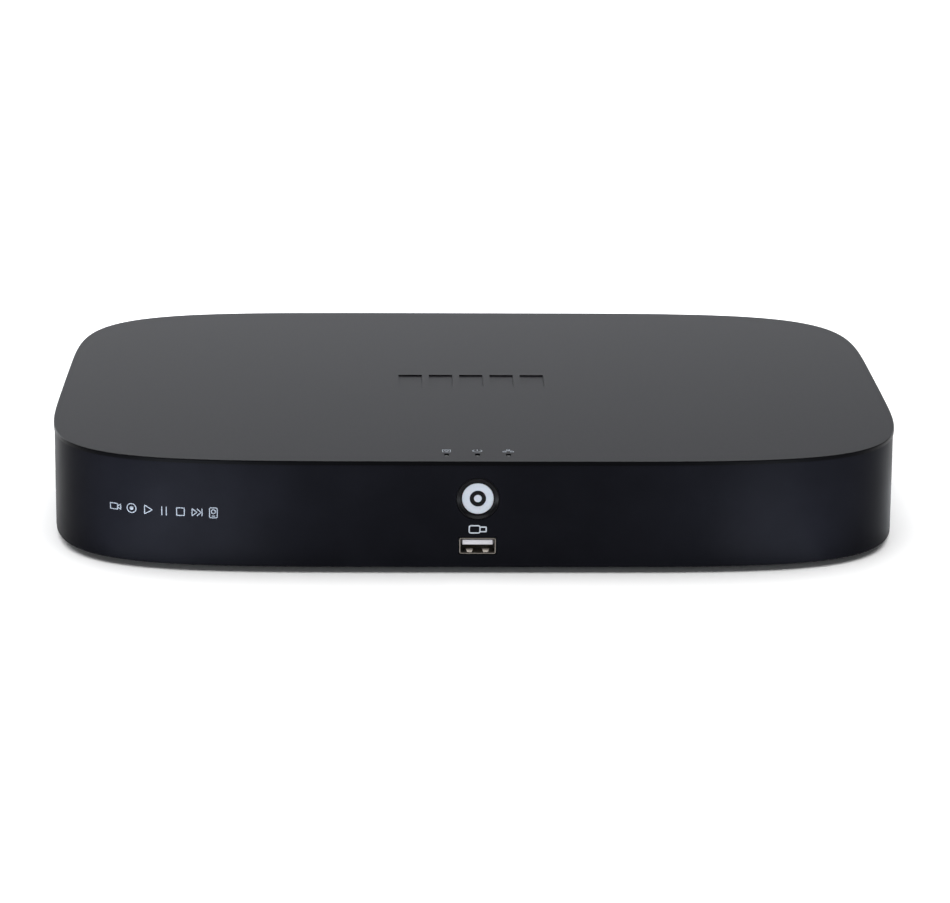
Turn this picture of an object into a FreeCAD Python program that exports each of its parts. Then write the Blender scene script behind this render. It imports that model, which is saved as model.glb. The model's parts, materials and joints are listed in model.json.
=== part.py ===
"""An eight-channel video recorder: a flat rounded-square case with boards, disk, fan, button and sockets.

Millimetres. +Z is up, the front with its button faces -Y, and the sockets face +Y. The origin is on the
surface that the rubber feet stand on, under the middle of the case. Each sub-part is an object of the
document, and its Label names its STEP file.
"""

import FreeCAD
import Part

import math
import os
import re

import Sketcher

Vector = FreeCAD.Vector
doc = FreeCAD.newDocument("video_recorder")

# ---------------------------------------------------------------- driving dimensions

SIZES = {
    # case
    "case_width": 325.0,
    "case_depth": 256.0,
    "case_height": 40.6,
    "corner_power": 5.16,  # exponent of the superellipse that every case outline follows
    "case_bottom": 2.5,
    "lid_thick": 1.5,
    "lid_edge_radius": 0.35,
    "lid_overhang": 0.3,
    "seam_gap": 0.1,
    "wall": 2.2,
    "skirt_gap": 0.2,
    "skirt_thick": 1.6,
    "skirt_depth": 4.0,
    "ledge_width": 2.0,
    "ledge_height": 2.0,
    "frame_edge_radius": 0.5,
    "post_x": 146.0,
    "post_y": 90.0,
    "post_radius": 4.0,
    "base_recess": 0.4,
    "base_thick": 1.6,
    "foot_x": 118.0,
    "foot_y": 92.0,
    "foot_radius": 8.0,
    "foot_edge_radius": 0.6,
    # recess marks on the lid, and the indicator holes
    "mark_count": 5,
    "mark_pitch": 12.2,
    "mark_width": 9.4,
    "mark_length": 20.0,
    "mark_recess": 0.5,
    "mark_y": 1.0,
    "led_y": -118.0,
    "led_pitch": 11.5,
    "led_hole_radius": 0.98,
    "led_hole_length": 3.7,
    "led_pipe_gap": 0.08,
    # vents
    "side_vent_rows": 3,
    "side_vent_columns": 6,
    "side_vent_top": 32.2,
    "side_vent_pitch": 8.5,
    "side_vent_height": 1.8,
    "side_vent_length": 20.0,
    "side_vent_spacing": 24.5,
    "floor_vent_columns": 9,
    "floor_vent_pitch": 8.0,
    "floor_vent_width": 3.0,
    "floor_vent_length": 40.0,
    "panel_vent_columns": 24,
    "panel_vent_pitch": 6.0,
    "panel_vent_width": 3.0,
    "panel_vent_height": 5.0,
    "panel_vent_z": 37.0,
    # screws
    "screw_radius": 1.48,
    "screw_hole_radius": 1.5,
    "screw_clearance_radius": 1.75,
    "screw_head_radius": 2.8,
    "screw_head_height": 1.6,
    "screw_head_edge": 0.6,
    "screw_recess_half_length": 1.5,
    "screw_recess_half_width": 0.25,
    "screw_recess_depth": 1.0,
    # rear panel
    "panel_y": 115.0,
    "panel_thick": 1.0,
    "panel_half_width": 129.5,
    "rear_opening_half_width": 128.0,
    # boards
    "board_thick": 1.6,
    "standoff_height": 3.5,
    "standoff_radius": 3.0,
    "board_half_width": 126.0,
    "board_front_y": 20.0,
    "board_rear_y": 112.8,
    "front_board_y": -113.0,
    "front_board_half_width": 34.0,
    "front_boss_x": 19.0,
    "front_boss_z": 20.0,
    "front_boss_radius": 2.8,
    "board_hole_radius": 1.6,
    # power button
    "button_z": 28.7,
    "button_radius": 7.85,
    "button_rim_width": 0.45,
    "button_face_radius": 6.1,
    "button_stands_out": 0.15,
    "button_dish": 0.75,
    "button_gap": 0.2,
    "button_bore_radius": 5.85,
    "button_ring_inner_radius": 3.05,
    "button_dot_radius": 1.55,
    "button_fit": 0.05,
    # front data port
    "port_z": 10.7,
    "port_half_width": 6.75,
    "port_half_height": 3.05,
    "port_gap": 0.25,
    "port_wall": 0.35,
    "port_finger_x": 2.9,
    "port_tongue_half_width": 5.6,
    # disk drive
    "drive_x": -10.0,
    "drive_y": -88.0,
    "drive_length": 147.0,
    "drive_width": 101.6,
    "drive_height": 26.1,
    "drive_boss_height": 3.0,
    "drive_boss_radius": 4.0,
    "platter_radius": 47.5,
    "platter_thick": 1.27,
    "drive_floor": 7.0,
    "drive_cover_thick": 1.1,
    "drive_hole_near": 41.28,
    "drive_hole_far": 85.73,
    "drive_hole_side": 47.62,
    "spindle_post_radius": 4.0,
    "hub_radius": 12.0,
    "pivot_post_radius": 2.5,
    "pivot_x": 30.0,
    "pivot_y": -20.0,
    "arm_length": 51.0,
    "arm_rest_angle": -70.0,
    # fan and heat sink
    "fan_x": -62.0,
    "fan_y": 66.0,
    "fan_size": 40.0,
    "fan_height": 10.0,
    "fan_bore_radius": 19.0,
    "fan_blade_count": 7,
    "fan_hub_radius": 9.6,
    "fan_shaft_radius": 1.0,
    "fan_screw_offset": 16.0,
    "sink_base": 2.0,
    "sink_fin_height": 8.0,
    "sink_fin_thick": 1.2,
    "sink_fin_count": 9,
    # sockets: places along the rear panel
    "dc_x": -119.0,
    "terminal_x": -106.0,
    "rear_usb_x": -90.5,
    "lan_x": -72.5,
    "hdmi_x": -53.0,
    "vga_x": -27.0,
    "vga_z": 16.2,
    "audio_x": -2.5,
    "audio_low_z": 14.8,
    "audio_high_z": 27.8,
    "bnc_first_x": 14.5,
    "bnc_pitch": 15.0,
    "bnc_count": 8,
    "bnc_z": 18.1,
    "bnc_radius": 4.8,
    "bnc_length": 13.0,
    "socket_gap": 0.25,
    # sockets: sizes
    "dc_half_width": 4.5,
    "dc_height": 11.0,
    "terminal_half_width": 5.1,
    "terminal_height": 10.0,
    "terminal_pitch": 5.08,
    "rear_usb_half_width": 6.8,
    "rear_usb_height": 15.6,
    "lan_half_width": 8.0,
    "lan_height": 13.5,
    "lan_contact_pitch": 1.02,
    "hdmi_half_width": 7.5,
    "hdmi_height": 6.0,
    "vga_screw_offset": 12.5,
    "vga_flange_half_width": 15.4,
    "vga_flange_half_height": 6.2,
    "vga_flange_thick": 0.8,
    "vga_collar_length": 5.5,
    "audio_half_width": 5.0,
    "audio_barrel_radius": 4.15,
    "audio_core_radius": 3.38,
    "bnc_seat_radius": 6.2,
    "bnc_bore_radius": 4.05,
}

CASE_TOP = "(case_bottom + case_height)"
LID_UNDER = "(case_bottom + case_height - lid_thick)"
BASE_UNDER = "(case_bottom + base_recess)"
FLOOR = "(case_bottom + base_recess + base_thick)"
BOARD_UNDER = f"({FLOOR} + standoff_height)"
BOARD_TOP = f"({BOARD_UNDER} + board_thick)"
PANEL_BACK = "(panel_y - panel_thick)"
FRAME_FRONT = "(case_depth/2 - lid_overhang)"
DRIVE_UNDER = f"({FLOOR} + drive_boss_height)"
SPINDLE_X = "(drive_x + drive_length - drive_width/2)"
DRIVE_MID_Y = "(drive_y + drive_width/2)"
SINK_UNDER = f"({BOARD_TOP} + 2)"
FAN_UNDER = f"({SINK_UNDER} + sink_base + sink_fin_height)"
DRIVE_FLOOR = f"({DRIVE_UNDER} + drive_floor)"
DRIVE_TOP = f"({DRIVE_UNDER} + drive_height - drive_cover_thick)"
SOCKET_FACE = "(panel_y + 0.3)"
FRONT_BOARD_FACE = "front_board_y"
FRONT_BOARD_BACK = "(front_board_y + board_thick)"


def make_sheet():
    """The spreadsheet that holds every driving dimension, one row each: its name, then its value."""
    table = doc.addObject("Spreadsheet::Sheet", "Dimensions")
    for row, (alias, value) in enumerate(SIZES.items(), start=1):
        table.set(f"A{row}", alias)
        table.set(f"B{row}", str(value))
        table.setAlias(f"B{row}", alias)
    doc.recompute()
    return table


sheet = make_sheet()


def size(alias):
    """A driving dimension's value, read from the sheet."""
    return float(sheet.get(alias))


def count(alias):
    return int(size(alias))


def linked(expression):
    """The expression with each driving dimension written as a reference to its cell."""
    return re.sub(
        r"[a-z_]+",
        lambda word: "Dimensions." + word.group(0) if word.group(0) in SIZES else word.group(0),
        str(expression),
    )


def value_of(expression):
    """The number that an expression of driving dimensions gives."""
    return float(sheet.evalExpression(linked(expression)))


# ---------------------------------------------------------------- primitives and booleans

TURNS = {
    "X": FreeCAD.Rotation(Vector(0, 1, 0), 90),
    "Y": FreeCAD.Rotation(Vector(1, 0, 0), -90),
    "Z": FreeCAD.Rotation(),
}


def bind(thing, **expressions):
    """Binds properties to expressions. at_x, at_y and at_z are the Placement's position."""
    for name, expression in expressions.items():
        path = ".Placement.Base." + name[3:] if name.startswith("at_") else name
        thing.setExpression(path, linked(expression))


def block(x, y, z):
    """A box from its low to its high side along each axis."""
    box = doc.addObject("Part::Box", "Box")
    bind(
        box,
        Length=f"({x[1]}) - ({x[0]})",
        Width=f"({y[1]}) - ({y[0]})",
        Height=f"({z[1]}) - ({z[0]})",
        at_x=x[0],
        at_y=y[0],
        at_z=z[0],
    )
    return box


def around(middle, half):
    """The two ends of a span that reaches half each side of its middle."""
    return (f"({middle}) - ({half})", f"({middle}) + ({half})")


def ordered(first, second):
    """The two ends of a span, lower first."""
    return (first, second) if value_of(first) < value_of(second) else (second, first)


def rod(axis, across, span, radius):
    """A cylinder along an axis, from span[0] to span[1].

    across holds the cylinder's other two coordinates, in X, Y, Z order.
    """
    cylinder = doc.addObject("Part::Cylinder", "Cylinder")
    base = list(across)
    base.insert("XYZ".index(axis), span[0])
    cylinder.Placement = FreeCAD.Placement(Vector(), TURNS[axis])
    bind(
        cylinder,
        Radius=radius,
        Height=f"({span[1]}) - ({span[0]})",
        at_x=base[0],
        at_y=base[1],
        at_z=base[2],
    )
    return cylinder


def fuse(*pieces):
    if len(pieces) == 1:
        return pieces[0]
    joined = doc.addObject("Part::MultiFuse", "Fusion")
    joined.Shapes = list(pieces)
    return joined


def cut(base, *tools):
    left = doc.addObject("Part::Cut", "Cut")
    left.Base = base
    left.Tool = fuse(*tools)
    return left


def common(first, second):
    shared = doc.addObject("Part::Common", "Common")
    shared.Base = first
    shared.Tool = second
    return shared


def tube(axis, across, span, radius, bore, bore_span=None):
    """A rod with a bore along it, all the way unless bore_span says how far."""
    if bore_span is None:
        bore_span = (f"({span[0]}) - 1", f"({span[1]}) + 1")
    return cut(rod(axis, across, span, radius), rod(axis, across, bore_span, bore))


def rounded(base, radius, chosen):
    """base with every edge that chosen picks rounded."""
    doc.recompute()
    numbers = [i for i, edge in enumerate(base.Shape.Edges, start=1) if chosen(edge)]
    fillet = doc.addObject("Part::Fillet", "Fillet")
    fillet.Base = base
    amount = value_of(radius)
    fillet.Edges = [(i, amount, amount) for i in numbers]
    return fillet


sub_parts = []


def sub_part(label, *pieces):
    """Names one sub-part. Several pieces stay separate solids in it."""
    if len(pieces) == 1:
        thing = pieces[0]
    else:
        thing = doc.addObject("Part::Compound", "Group")
        thing.Links = list(pieces)
    thing.Label = label
    sub_parts.append(thing)
    return thing


# ---------------------------------------------------------------- bodies, sketches and their features

PLANES = {"XY": "XY_Plane", "XZ": "XZ_Plane", "YZ": "YZ_Plane"}


def new_body(label):
    body = doc.addObject("PartDesign::Body", "Body")
    return sub_part(label, body)


def new_sketch(body, plane, offset):
    """A sketch on one of the body's origin planes, moved along that plane's normal: +Z, -Y or +X."""
    sketch = body.newObject("Sketcher::SketchObject", "Sketch")
    origin_plane = next(f for f in body.Origin.OriginFeatures if f.Role == PLANES[plane])
    sketch.AttachmentSupport = (origin_plane, [""])
    sketch.MapMode = "FlatFace"
    sketch.setExpression("AttachmentOffset.Base.z", linked(offset))
    return sketch


def hold(sketch, kind, *where, to):
    """Adds a constraint and binds its value."""
    number = sketch.addConstraint(Sketcher.Constraint(kind, *where, value_of(to)))
    sketch.setExpression(f"Constraints[{number}]", linked(to))


def circle(sketch, x, y, radius):
    place = Vector(value_of(x), value_of(y), 0)
    ring = sketch.addGeometry(Part.Circle(place, Vector(0, 0, 1), value_of(radius)), False)
    hold(sketch, "DistanceX", -1, 1, ring, 3, to=x)
    hold(sketch, "DistanceY", -1, 1, ring, 3, to=y)
    hold(sketch, "Radius", ring, to=radius)


def polygon(sketch, corners):
    """A closed outline through the corners, each held at its place."""
    places = [Vector(value_of(x), value_of(y), 0) for x, y in corners]
    lines = [
        sketch.addGeometry(Part.LineSegment(start, end), False)
        for start, end in zip(places, places[1:] + places[:1])
    ]
    for line, after in zip(lines, lines[1:] + lines[:1]):
        sketch.addConstraint(Sketcher.Constraint("Coincident", line, 2, after, 1))
    for line, (x, y) in zip(lines, corners):
        hold(sketch, "DistanceX", -1, 1, line, 1, to=x)
        hold(sketch, "DistanceY", -1, 1, line, 1, to=y)


def rectangle(sketch, x, y):
    polygon(sketch, [(x[0], y[0]), (x[1], y[0]), (x[1], y[1]), (x[0], y[1])])


def slot(sketch, x, y, radius, length):
    """A slot along the sketch's Y axis: two straight sides joined by two half circles."""
    centre_x, centre_y, end_radius = value_of(x), value_of(y), value_of(radius)
    straight = value_of(length) / 2 - end_radius
    right, left = centre_x + end_radius, centre_x - end_radius
    high, low = centre_y + straight, centre_y - straight

    def half_circle(height, start):
        ring = Part.Circle(Vector(centre_x, height, 0), Vector(0, 0, 1), end_radius)
        return sketch.addGeometry(Part.ArcOfCircle(ring, start, start + math.pi), False)

    right_side = Part.LineSegment(Vector(right, low, 0), Vector(right, high, 0))
    left_side = Part.LineSegment(Vector(left, high, 0), Vector(left, low, 0))
    pieces = [
        sketch.addGeometry(right_side, False),
        half_circle(high, 0),
        sketch.addGeometry(left_side, False),
        half_circle(low, math.pi),
    ]
    for piece, after in zip(pieces, pieces[1:] + pieces[:1]):
        sketch.addConstraint(Sketcher.Constraint("Tangent", piece, 2, after, 1))
    for end, side in ((pieces[1], "+"), (pieces[3], "-")):
        hold(sketch, "DistanceX", -1, 1, end, 3, to=x)
        hold(sketch, "DistanceY", -1, 1, end, 3, to=f"{y} {side} (({length})/2 - {radius})")
    hold(sketch, "Radius", pieces[1], to=radius)


def superellipse_point(half_width, half_depth, angle):
    """A point of the case outline: |x/a|^n + |y/b|^n = 1."""
    power = size("corner_power")
    across, along = math.cos(angle), math.sin(angle)
    reach = (abs(across) ** power + abs(along) ** power) ** (-1 / power)
    return Vector(half_width * across * reach, half_depth * along * reach, 0)


def case_outline(sketch, inset):
    """The case's rounded-square outline, moved in by inset, as four tangent curves of one formula."""
    steps = 16
    half_width = size("case_width") / 2 - value_of(inset)
    half_depth = size("case_depth") / 2 - value_of(inset)
    for quarter in range(4):
        start, end = quarter * math.pi / 2, (quarter + 1) * math.pi / 2
        angles = [start + (end - start) * i / steps for i in range(steps + 1)]
        curve = Part.BSplineCurve()
        curve.interpolate(
            Points=[superellipse_point(half_width, half_depth, a) for a in angles],
            InitialTangent=Vector(-math.sin(start), math.cos(start), 0),
            FinalTangent=Vector(-math.sin(end), math.cos(end), 0),
        )
        sketch.addGeometry(curve, False)


def pad(body, sketch, length):
    feature = body.newObject("PartDesign::Pad", "Pad")
    feature.Profile = sketch
    feature.setExpression("Length", linked(length))
    doc.recompute()
    return feature


def pocket(body, sketch, depth):
    """Cuts half of depth each side of the sketch, and makes sure that it cut something."""
    before = body.Shape.Volume
    feature = body.newObject("PartDesign::Pocket", "Pocket")
    feature.Profile = sketch
    feature.SideType = "Symmetric"
    feature.setExpression("Length", linked(depth))
    doc.recompute()
    if body.Shape.Volume > before - 1e-6:
        raise RuntimeError(f"a pocket in {body.Label} cuts nothing")
    return feature


def round_over(body, radius, chosen):
    """Rounds the edges of the body that chosen picks."""
    base = body.Tip
    names = [f"Edge{i}" for i, edge in enumerate(base.Shape.Edges, start=1) if chosen(edge)]
    feature = body.newObject("PartDesign::Fillet", "Fillet")
    feature.Base = (base, names)
    feature.setExpression("Radius", linked(radius))
    doc.recompute()
    return feature


def at_height(height):
    """Picks the edges whose ends lie at one height."""
    level = value_of(height)
    return lambda edge: all(abs(corner.Z - level) < 1e-6 for corner in edge.Vertexes)


def outermost(height):
    """Picks the edges at one height that lie on the outer side of the band."""
    flat = at_height(height)
    inner_width = value_of("case_width/2 - lid_overhang - wall/2")
    inner_depth = value_of("case_depth/2 - lid_overhang - wall/2")

    def chosen(edge):
        box = edge.BoundBox
        reaches_side = max(abs(box.XMin), abs(box.XMax)) > inner_width
        reaches_end = max(abs(box.YMin), abs(box.YMax)) > inner_depth
        return flat(edge) and (reaches_side or reaches_end)

    return chosen


CORNERS = [(i, j) for i in (-1, 1) for j in (-1, 1)]


def at_corners(x, y):
    """The four places (x, y), (-x, y), (x, -y) and (-x, -y), as expressions."""
    return [(f"{i}*({x})", f"{j}*({y})") for i, j in CORNERS]


# ---------------------------------------------------------------- case

def top_cover():
    """The lid: a plate with a skirt, four screw posts, three indicator slots and five recessed bars."""
    body = new_body("top_cover")
    plate = new_sketch(body, "XY", LID_UNDER)
    case_outline(plate, 0)
    pad(body, plate, "lid_thick")
    round_over(body, "lid_edge_radius", at_height(CASE_TOP))

    skirt_low = f"({LID_UNDER} - skirt_depth)"
    skirt = new_sketch(body, "XY", skirt_low)
    case_outline(skirt, "lid_overhang + wall + skirt_gap")
    case_outline(skirt, "lid_overhang + wall + skirt_gap + skirt_thick")
    pad(body, skirt, "skirt_depth")
    gaps = new_sketch(body, "XY", f"{LID_UNDER} - skirt_depth/2")
    rectangle(gaps, around(0, "panel_half_width + 7"), ("panel_y - 15", "case_depth/2"))
    rectangle(gaps, around(0, "button_radius + 4"), ("-case_depth/2", "10 - case_depth/2"))
    pocket(body, gaps, "skirt_depth")

    posts = new_sketch(body, "XY", FLOOR)
    for x, y in at_corners("post_x", "post_y"):
        circle(posts, x, y, "post_radius")
    pad(body, posts, f"{LID_UNDER} - {FLOOR}")
    screw_holes = new_sketch(body, "XY", FLOOR)
    for x, y in at_corners("post_x", "post_y"):
        circle(screw_holes, x, y, "screw_hole_radius")
    pocket(body, screw_holes, 24)

    led_holes = new_sketch(body, "XY", CASE_TOP)
    for i in (-1, 0, 1):
        slot(led_holes, f"{i}*led_pitch", "led_y", "led_hole_radius", "led_hole_length")
    pocket(body, led_holes, "3*lid_thick")

    marks = new_sketch(body, "XY", CASE_TOP)
    for i in range(count("mark_count")):
        middle = f"({i} - (mark_count - 1)/2)*mark_pitch"
        rectangle(marks, around(middle, "mark_width/2"), around("mark_y", "mark_length/2"))
    pocket(body, marks, "2*mark_recess")


def side_frame():
    """The upright band: smooth front, louvred left side, open back, with two bosses for the front board."""
    body = new_body("side_frame")
    band = new_sketch(body, "XY", "case_bottom")
    case_outline(band, "lid_overhang")
    case_outline(band, "lid_overhang + wall")
    pad(body, band, "case_height - lid_thick - seam_gap")
    round_over(body, "frame_edge_radius", outermost("case_bottom"))

    ledge = new_sketch(body, "XY", FLOOR)
    case_outline(ledge, "lid_overhang + wall/2")
    case_outline(ledge, "lid_overhang + wall + ledge_width")
    pad(body, ledge, "ledge_height")

    sill = f"({FLOOR} + ledge_height)"
    rear_opening = new_sketch(body, "XY", f"({sill} + 45)/2")
    rectangle(rear_opening, around(0, "rear_opening_half_width"), ("panel_y - 15", "case_depth/2 + 5"))
    pocket(body, rear_opening, f"45 - {sill}")

    front_middle = "case_depth/2 - lid_overhang - wall/2"
    front_holes = new_sketch(body, "XZ", front_middle)
    circle(front_holes, 0, "button_z", "button_radius + button_gap")
    rectangle(
        front_holes,
        around(0, "port_half_width + port_gap"),
        around("port_z", "port_half_height + port_gap"),
    )
    pocket(body, front_holes, "3*wall")

    bosses = new_sketch(body, "XZ", "-front_board_y")
    for side in (-1, 1):
        circle(bosses, f"{side}*front_boss_x", "front_boss_z", "front_boss_radius")
    pad(body, bosses, f"{FRAME_FRONT} - wall/2 + front_board_y")
    boss_holes = new_sketch(body, "XZ", "-front_board_y")
    for side in (-1, 1):
        circle(boss_holes, f"{side}*front_boss_x", "front_boss_z", "screw_hole_radius")
    pocket(body, boss_holes, 16)

    vents = new_sketch(body, "YZ", "-(case_width/2 - lid_overhang - wall)")
    for row in range(count("side_vent_rows")):
        height = f"side_vent_top - {row}*side_vent_pitch"
        for column in range(count("side_vent_columns")):
            middle = f"({column} - (side_vent_columns - 1)/2)*side_vent_spacing"
            rectangle(
                vents,
                around(middle, "side_vent_length/2"),
                around(height, "side_vent_height/2"),
            )
    pocket(body, vents, "5*wall")


BOARD_SCREWS = [(-121, 27), (121, 27), (-121, 86), (121, 86), (20, 27)]


def drive_screw_places():
    """The four threaded holes in the underside of a standard 3.5-inch drive."""
    return [
        (f"drive_x + {along}", f"{DRIVE_MID_Y} + {side}*drive_hole_side")
        for along in ("drive_hole_near", "drive_hole_far")
        for side in (-1, 1)
    ]


def base_plate():
    """The floor: standoffs for the main board, bosses for the drive, screw holes and three vent fields."""
    body = new_body("base_plate")
    plate = new_sketch(body, "XY", BASE_UNDER)
    case_outline(plate, "lid_overhang + wall + skirt_gap")
    pad(body, plate, "base_thick")
    standoffs = new_sketch(body, "XY", f"{FLOOR} - base_thick/2")
    for x, y in BOARD_SCREWS:
        circle(standoffs, x, y, "standoff_radius")
    pad(body, standoffs, "base_thick/2 + standoff_height")
    drive_bosses = new_sketch(body, "XY", f"{FLOOR} - base_thick/2")
    for x, y in drive_screw_places():
        circle(drive_bosses, x, y, "drive_boss_radius")
    pad(body, drive_bosses, "base_thick/2 + drive_boss_height")

    holes = new_sketch(body, "XY", FLOOR)
    for x, y in at_corners("post_x", "post_y") + drive_screw_places():
        circle(holes, x, y, "screw_clearance_radius")
    for x, y in BOARD_SCREWS:
        circle(holes, x, y, "screw_hole_radius")
    pocket(body, holes, 20)

    slots = new_sketch(body, "XY", FLOOR)
    for x_middle, y_middle in ((-85, -50), (-62, 66), (62, 66)):
        for column in range(count("floor_vent_columns")):
            middle = f"{x_middle} + ({column} - (floor_vent_columns - 1)/2)*floor_vent_pitch"
            half_width, half_length = "floor_vent_width/2", "floor_vent_length/2"
            rectangle(slots, around(middle, half_width), around(y_middle, half_length))
    pocket(body, slots, 20)


def rubber_feet():
    feet = []
    for x, y in at_corners("foot_x", "foot_y"):
        foot = rod("Z", (x, y), (0, BASE_UNDER), "foot_radius")
        feet.append(rounded(foot, "foot_edge_radius", at_height(0)))
    sub_part("rubber_feet", *feet)


def screw(x, y, under_head, tip, head_up=1):
    """A pan-head cross-recess screw along Z. The shank runs from under the head to the tip."""
    top = f"({under_head}) + {head_up}*screw_head_height"
    low, high = (under_head, top) if head_up > 0 else (top, under_head)
    shank = (tip, under_head) if head_up > 0 else (under_head, tip)
    head = rod("Z", (x, y), (low, high), "screw_head_radius")
    eased = rounded(head, "screw_head_edge", at_height(top))
    depth = around(top, "screw_recess_depth")
    long_half, short_half = "screw_recess_half_length", "screw_recess_half_width"
    recess = fuse(
        block(around(x, long_half), around(y, short_half), depth),
        block(around(x, short_half), around(y, long_half), depth),
    )
    return cut(fuse(eased, rod("Z", (x, y), shank, "screw_radius")), recess)


def base_screws():
    """The screws under the floor: four into the lid's posts and four into the drive."""
    places = at_corners("post_x", "post_y") + drive_screw_places()
    tip = f"{FLOOR} + 6.4"
    sub_part("base_screws", *[screw(x, y, BASE_UNDER, tip, head_up=-1) for x, y in places])


def rear_panel():
    """The steel plate behind the sockets: a cut-out for each socket and a row of vent slots above them."""
    body = new_body("rear_panel")
    plate = new_sketch(body, "XZ", "-panel_y")
    rectangle(plate, around(0, "panel_half_width"), (f"{FLOOR} + 0.2", f"{LID_UNDER} - seam_gap"))
    pad(body, plate, "panel_thick")
    notches = new_sketch(body, "XZ", "-panel_y + panel_thick/2")
    for side in (-1, 1):
        middle = f"{side}*(panel_half_width - 5)"
        rectangle(notches, around(middle, 7), (FLOOR, f"{FLOOR} + ledge_height + 0.2"))
    pocket(body, notches, "4*panel_thick")

    holes = new_sketch(body, "XZ", "-panel_y + panel_thick/2")
    for name in ("dc", "terminal", "rear_usb", "lan", "hdmi"):
        width = around(f"{name}_x", f"{name}_half_width + socket_gap")
        rectangle(holes, width, (BOARD_TOP, f"{BOARD_TOP} + {name}_height + socket_gap"))
    polygon(holes, vga_outline("socket_gap + 0.3"))
    for side in (-1, 1):
        circle(holes, f"vga_x + {side}*vga_screw_offset", "vga_z", 1.7)
    for height in ("audio_low_z", "audio_high_z"):
        circle(holes, "audio_x", height, "audio_half_width + socket_gap")
    for i in range(count("bnc_count")):
        circle(holes, f"bnc_first_x + {i}*bnc_pitch", "bnc_z", "bnc_seat_radius + socket_gap")
    pocket(body, holes, "4*panel_thick")

    vents = new_sketch(body, "XZ", "-panel_y + panel_thick/2")
    for column in range(count("panel_vent_columns")):
        middle = f"({column} - (panel_vent_columns - 1)/2)*panel_vent_pitch + 35"
        height = around("panel_vent_z", "panel_vent_height/2")
        rectangle(vents, around(middle, "panel_vent_width/2"), height)
    pocket(body, vents, "4*panel_thick")


# ---------------------------------------------------------------- power button and front board

def lathe(body, profile):
    """Turns a profile of (radius, distance behind the case front) corners about the button's axis."""
    sketch = new_sketch(body, "YZ", 0)
    front = f"-{FRAME_FRONT}"
    polygon(sketch, [(f"{front} + ({depth})", f"button_z + ({radius})") for radius, depth in profile])
    axis = sketch.addGeometry(
        Part.LineSegment(
            Vector(value_of(front) - 5, value_of("button_z"), 0),
            Vector(value_of(front) + 20, value_of("button_z"), 0),
        ),
        True,
    )
    for end in (1, 2):
        hold(sketch, "DistanceY", -1, 1, axis, end, to="button_z")
    turned = body.newObject("PartDesign::Revolution", "Revolution")
    turned.Profile = sketch
    turned.ReferenceAxis = (sketch, ["Axis0"])
    turned.Angle = 360
    doc.recompute()
    return turned


BUTTON_FLANGE = "wall + 0.05"
BUTTON_BACK = f"{BUTTON_FLANGE} + 1.2"


def power_button():
    """The button's black cap: a dished rim in front and a flange behind the case wall that stops it."""
    lathe(
        new_body("power_button"),
        [
            ("button_bore_radius + button_fit", "button_dish"),
            ("button_face_radius", "button_dish"),
            ("button_radius - button_rim_width", "-button_stands_out"),
            ("button_radius - button_rim_width/2", "-button_stands_out"),
            ("button_radius", "button_rim_width/2 - button_stands_out"),
            ("button_radius", BUTTON_FLANGE),
            ("button_radius + 1.3", BUTTON_FLANGE),
            ("button_radius + 1.3", BUTTON_BACK),
            ("button_bore_radius + button_fit", BUTTON_BACK),
        ],
    )


def button_light_guide():
    """The white insert: a ring and a dot show in the dish, and its stem reaches back to the switch."""
    front = "button_dish - 0.1"
    stem_end = f"{FRAME_FRONT} + front_board_y - 5.05"
    lathe(
        new_body("button_light_guide"),
        [
            ("0", front),
            ("button_dot_radius", front),
            ("button_dot_radius", f"{front} + 0.9"),
            ("button_ring_inner_radius", f"{front} + 0.9"),
            ("button_ring_inner_radius", front),
            ("button_bore_radius - 0.15", front),
            ("button_bore_radius", f"{front} + 0.15"),
            ("button_bore_radius", BUTTON_BACK),
            ("2.2", BUTTON_BACK),
            ("2.2", stem_end),
            ("0", stem_end),
        ],
    )


def button_inner_ring():
    """The black ring pressed between the white ring and the dot."""
    front = "button_dish - 0.1"
    lathe(
        new_body("button_inner_ring"),
        [
            ("button_dot_radius + 0.03", f"{front} + 0.1"),
            ("button_dot_radius + 0.6", f"{front} - 0.1"),
            ("button_ring_inner_radius - 0.03", f"{front} + 0.1"),
            ("button_ring_inner_radius - 0.03", f"{front} + 0.9"),
            ("button_dot_radius + 0.03", f"{front} + 0.9"),
        ],
    )


def front_board():
    """The upright board behind the front wall, with its two screw holes."""
    board = block(
        around(0, "front_board_half_width"),
        (FRONT_BOARD_FACE, FRONT_BOARD_BACK),
        (f"{FLOOR} + 1", f"{LID_UNDER} - 4.5"),
    )
    through = around(FRONT_BOARD_FACE, 4)
    holes = [
        rod("Y", (f"{side}*front_boss_x", "front_boss_z"), through, "board_hole_radius")
        for side in (-1, 1)
    ]
    sub_part("front_board", cut(board, *holes))


def board_screws():
    """The screws that hold the main board to its standoffs and the front board to its bosses."""
    screws = [screw(x, y, BOARD_TOP, f"{BASE_UNDER} + 0.4") for x, y in BOARD_SCREWS]
    for side in (-1, 1):
        place = (f"{side}*front_boss_x", "front_boss_z")
        head_end = f"({FRONT_BOARD_BACK} + screw_head_height)"
        head = rod("Y", place, (FRONT_BOARD_BACK, head_end), "screw_head_radius")
        shank = rod("Y", place, (f"{FRONT_BOARD_FACE} - 6", FRONT_BOARD_BACK), "screw_radius")
        depth = around(head_end, "screw_recess_depth")
        long_half, short_half = "screw_recess_half_length", "screw_recess_half_width"
        recess = fuse(
            block(around(place[0], long_half), depth, around(place[1], short_half)),
            block(around(place[0], short_half), depth, around(place[1], long_half)),
        )
        screws.append(cut(fuse(head, shank), recess))
    sub_part("board_screws", *screws)


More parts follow.
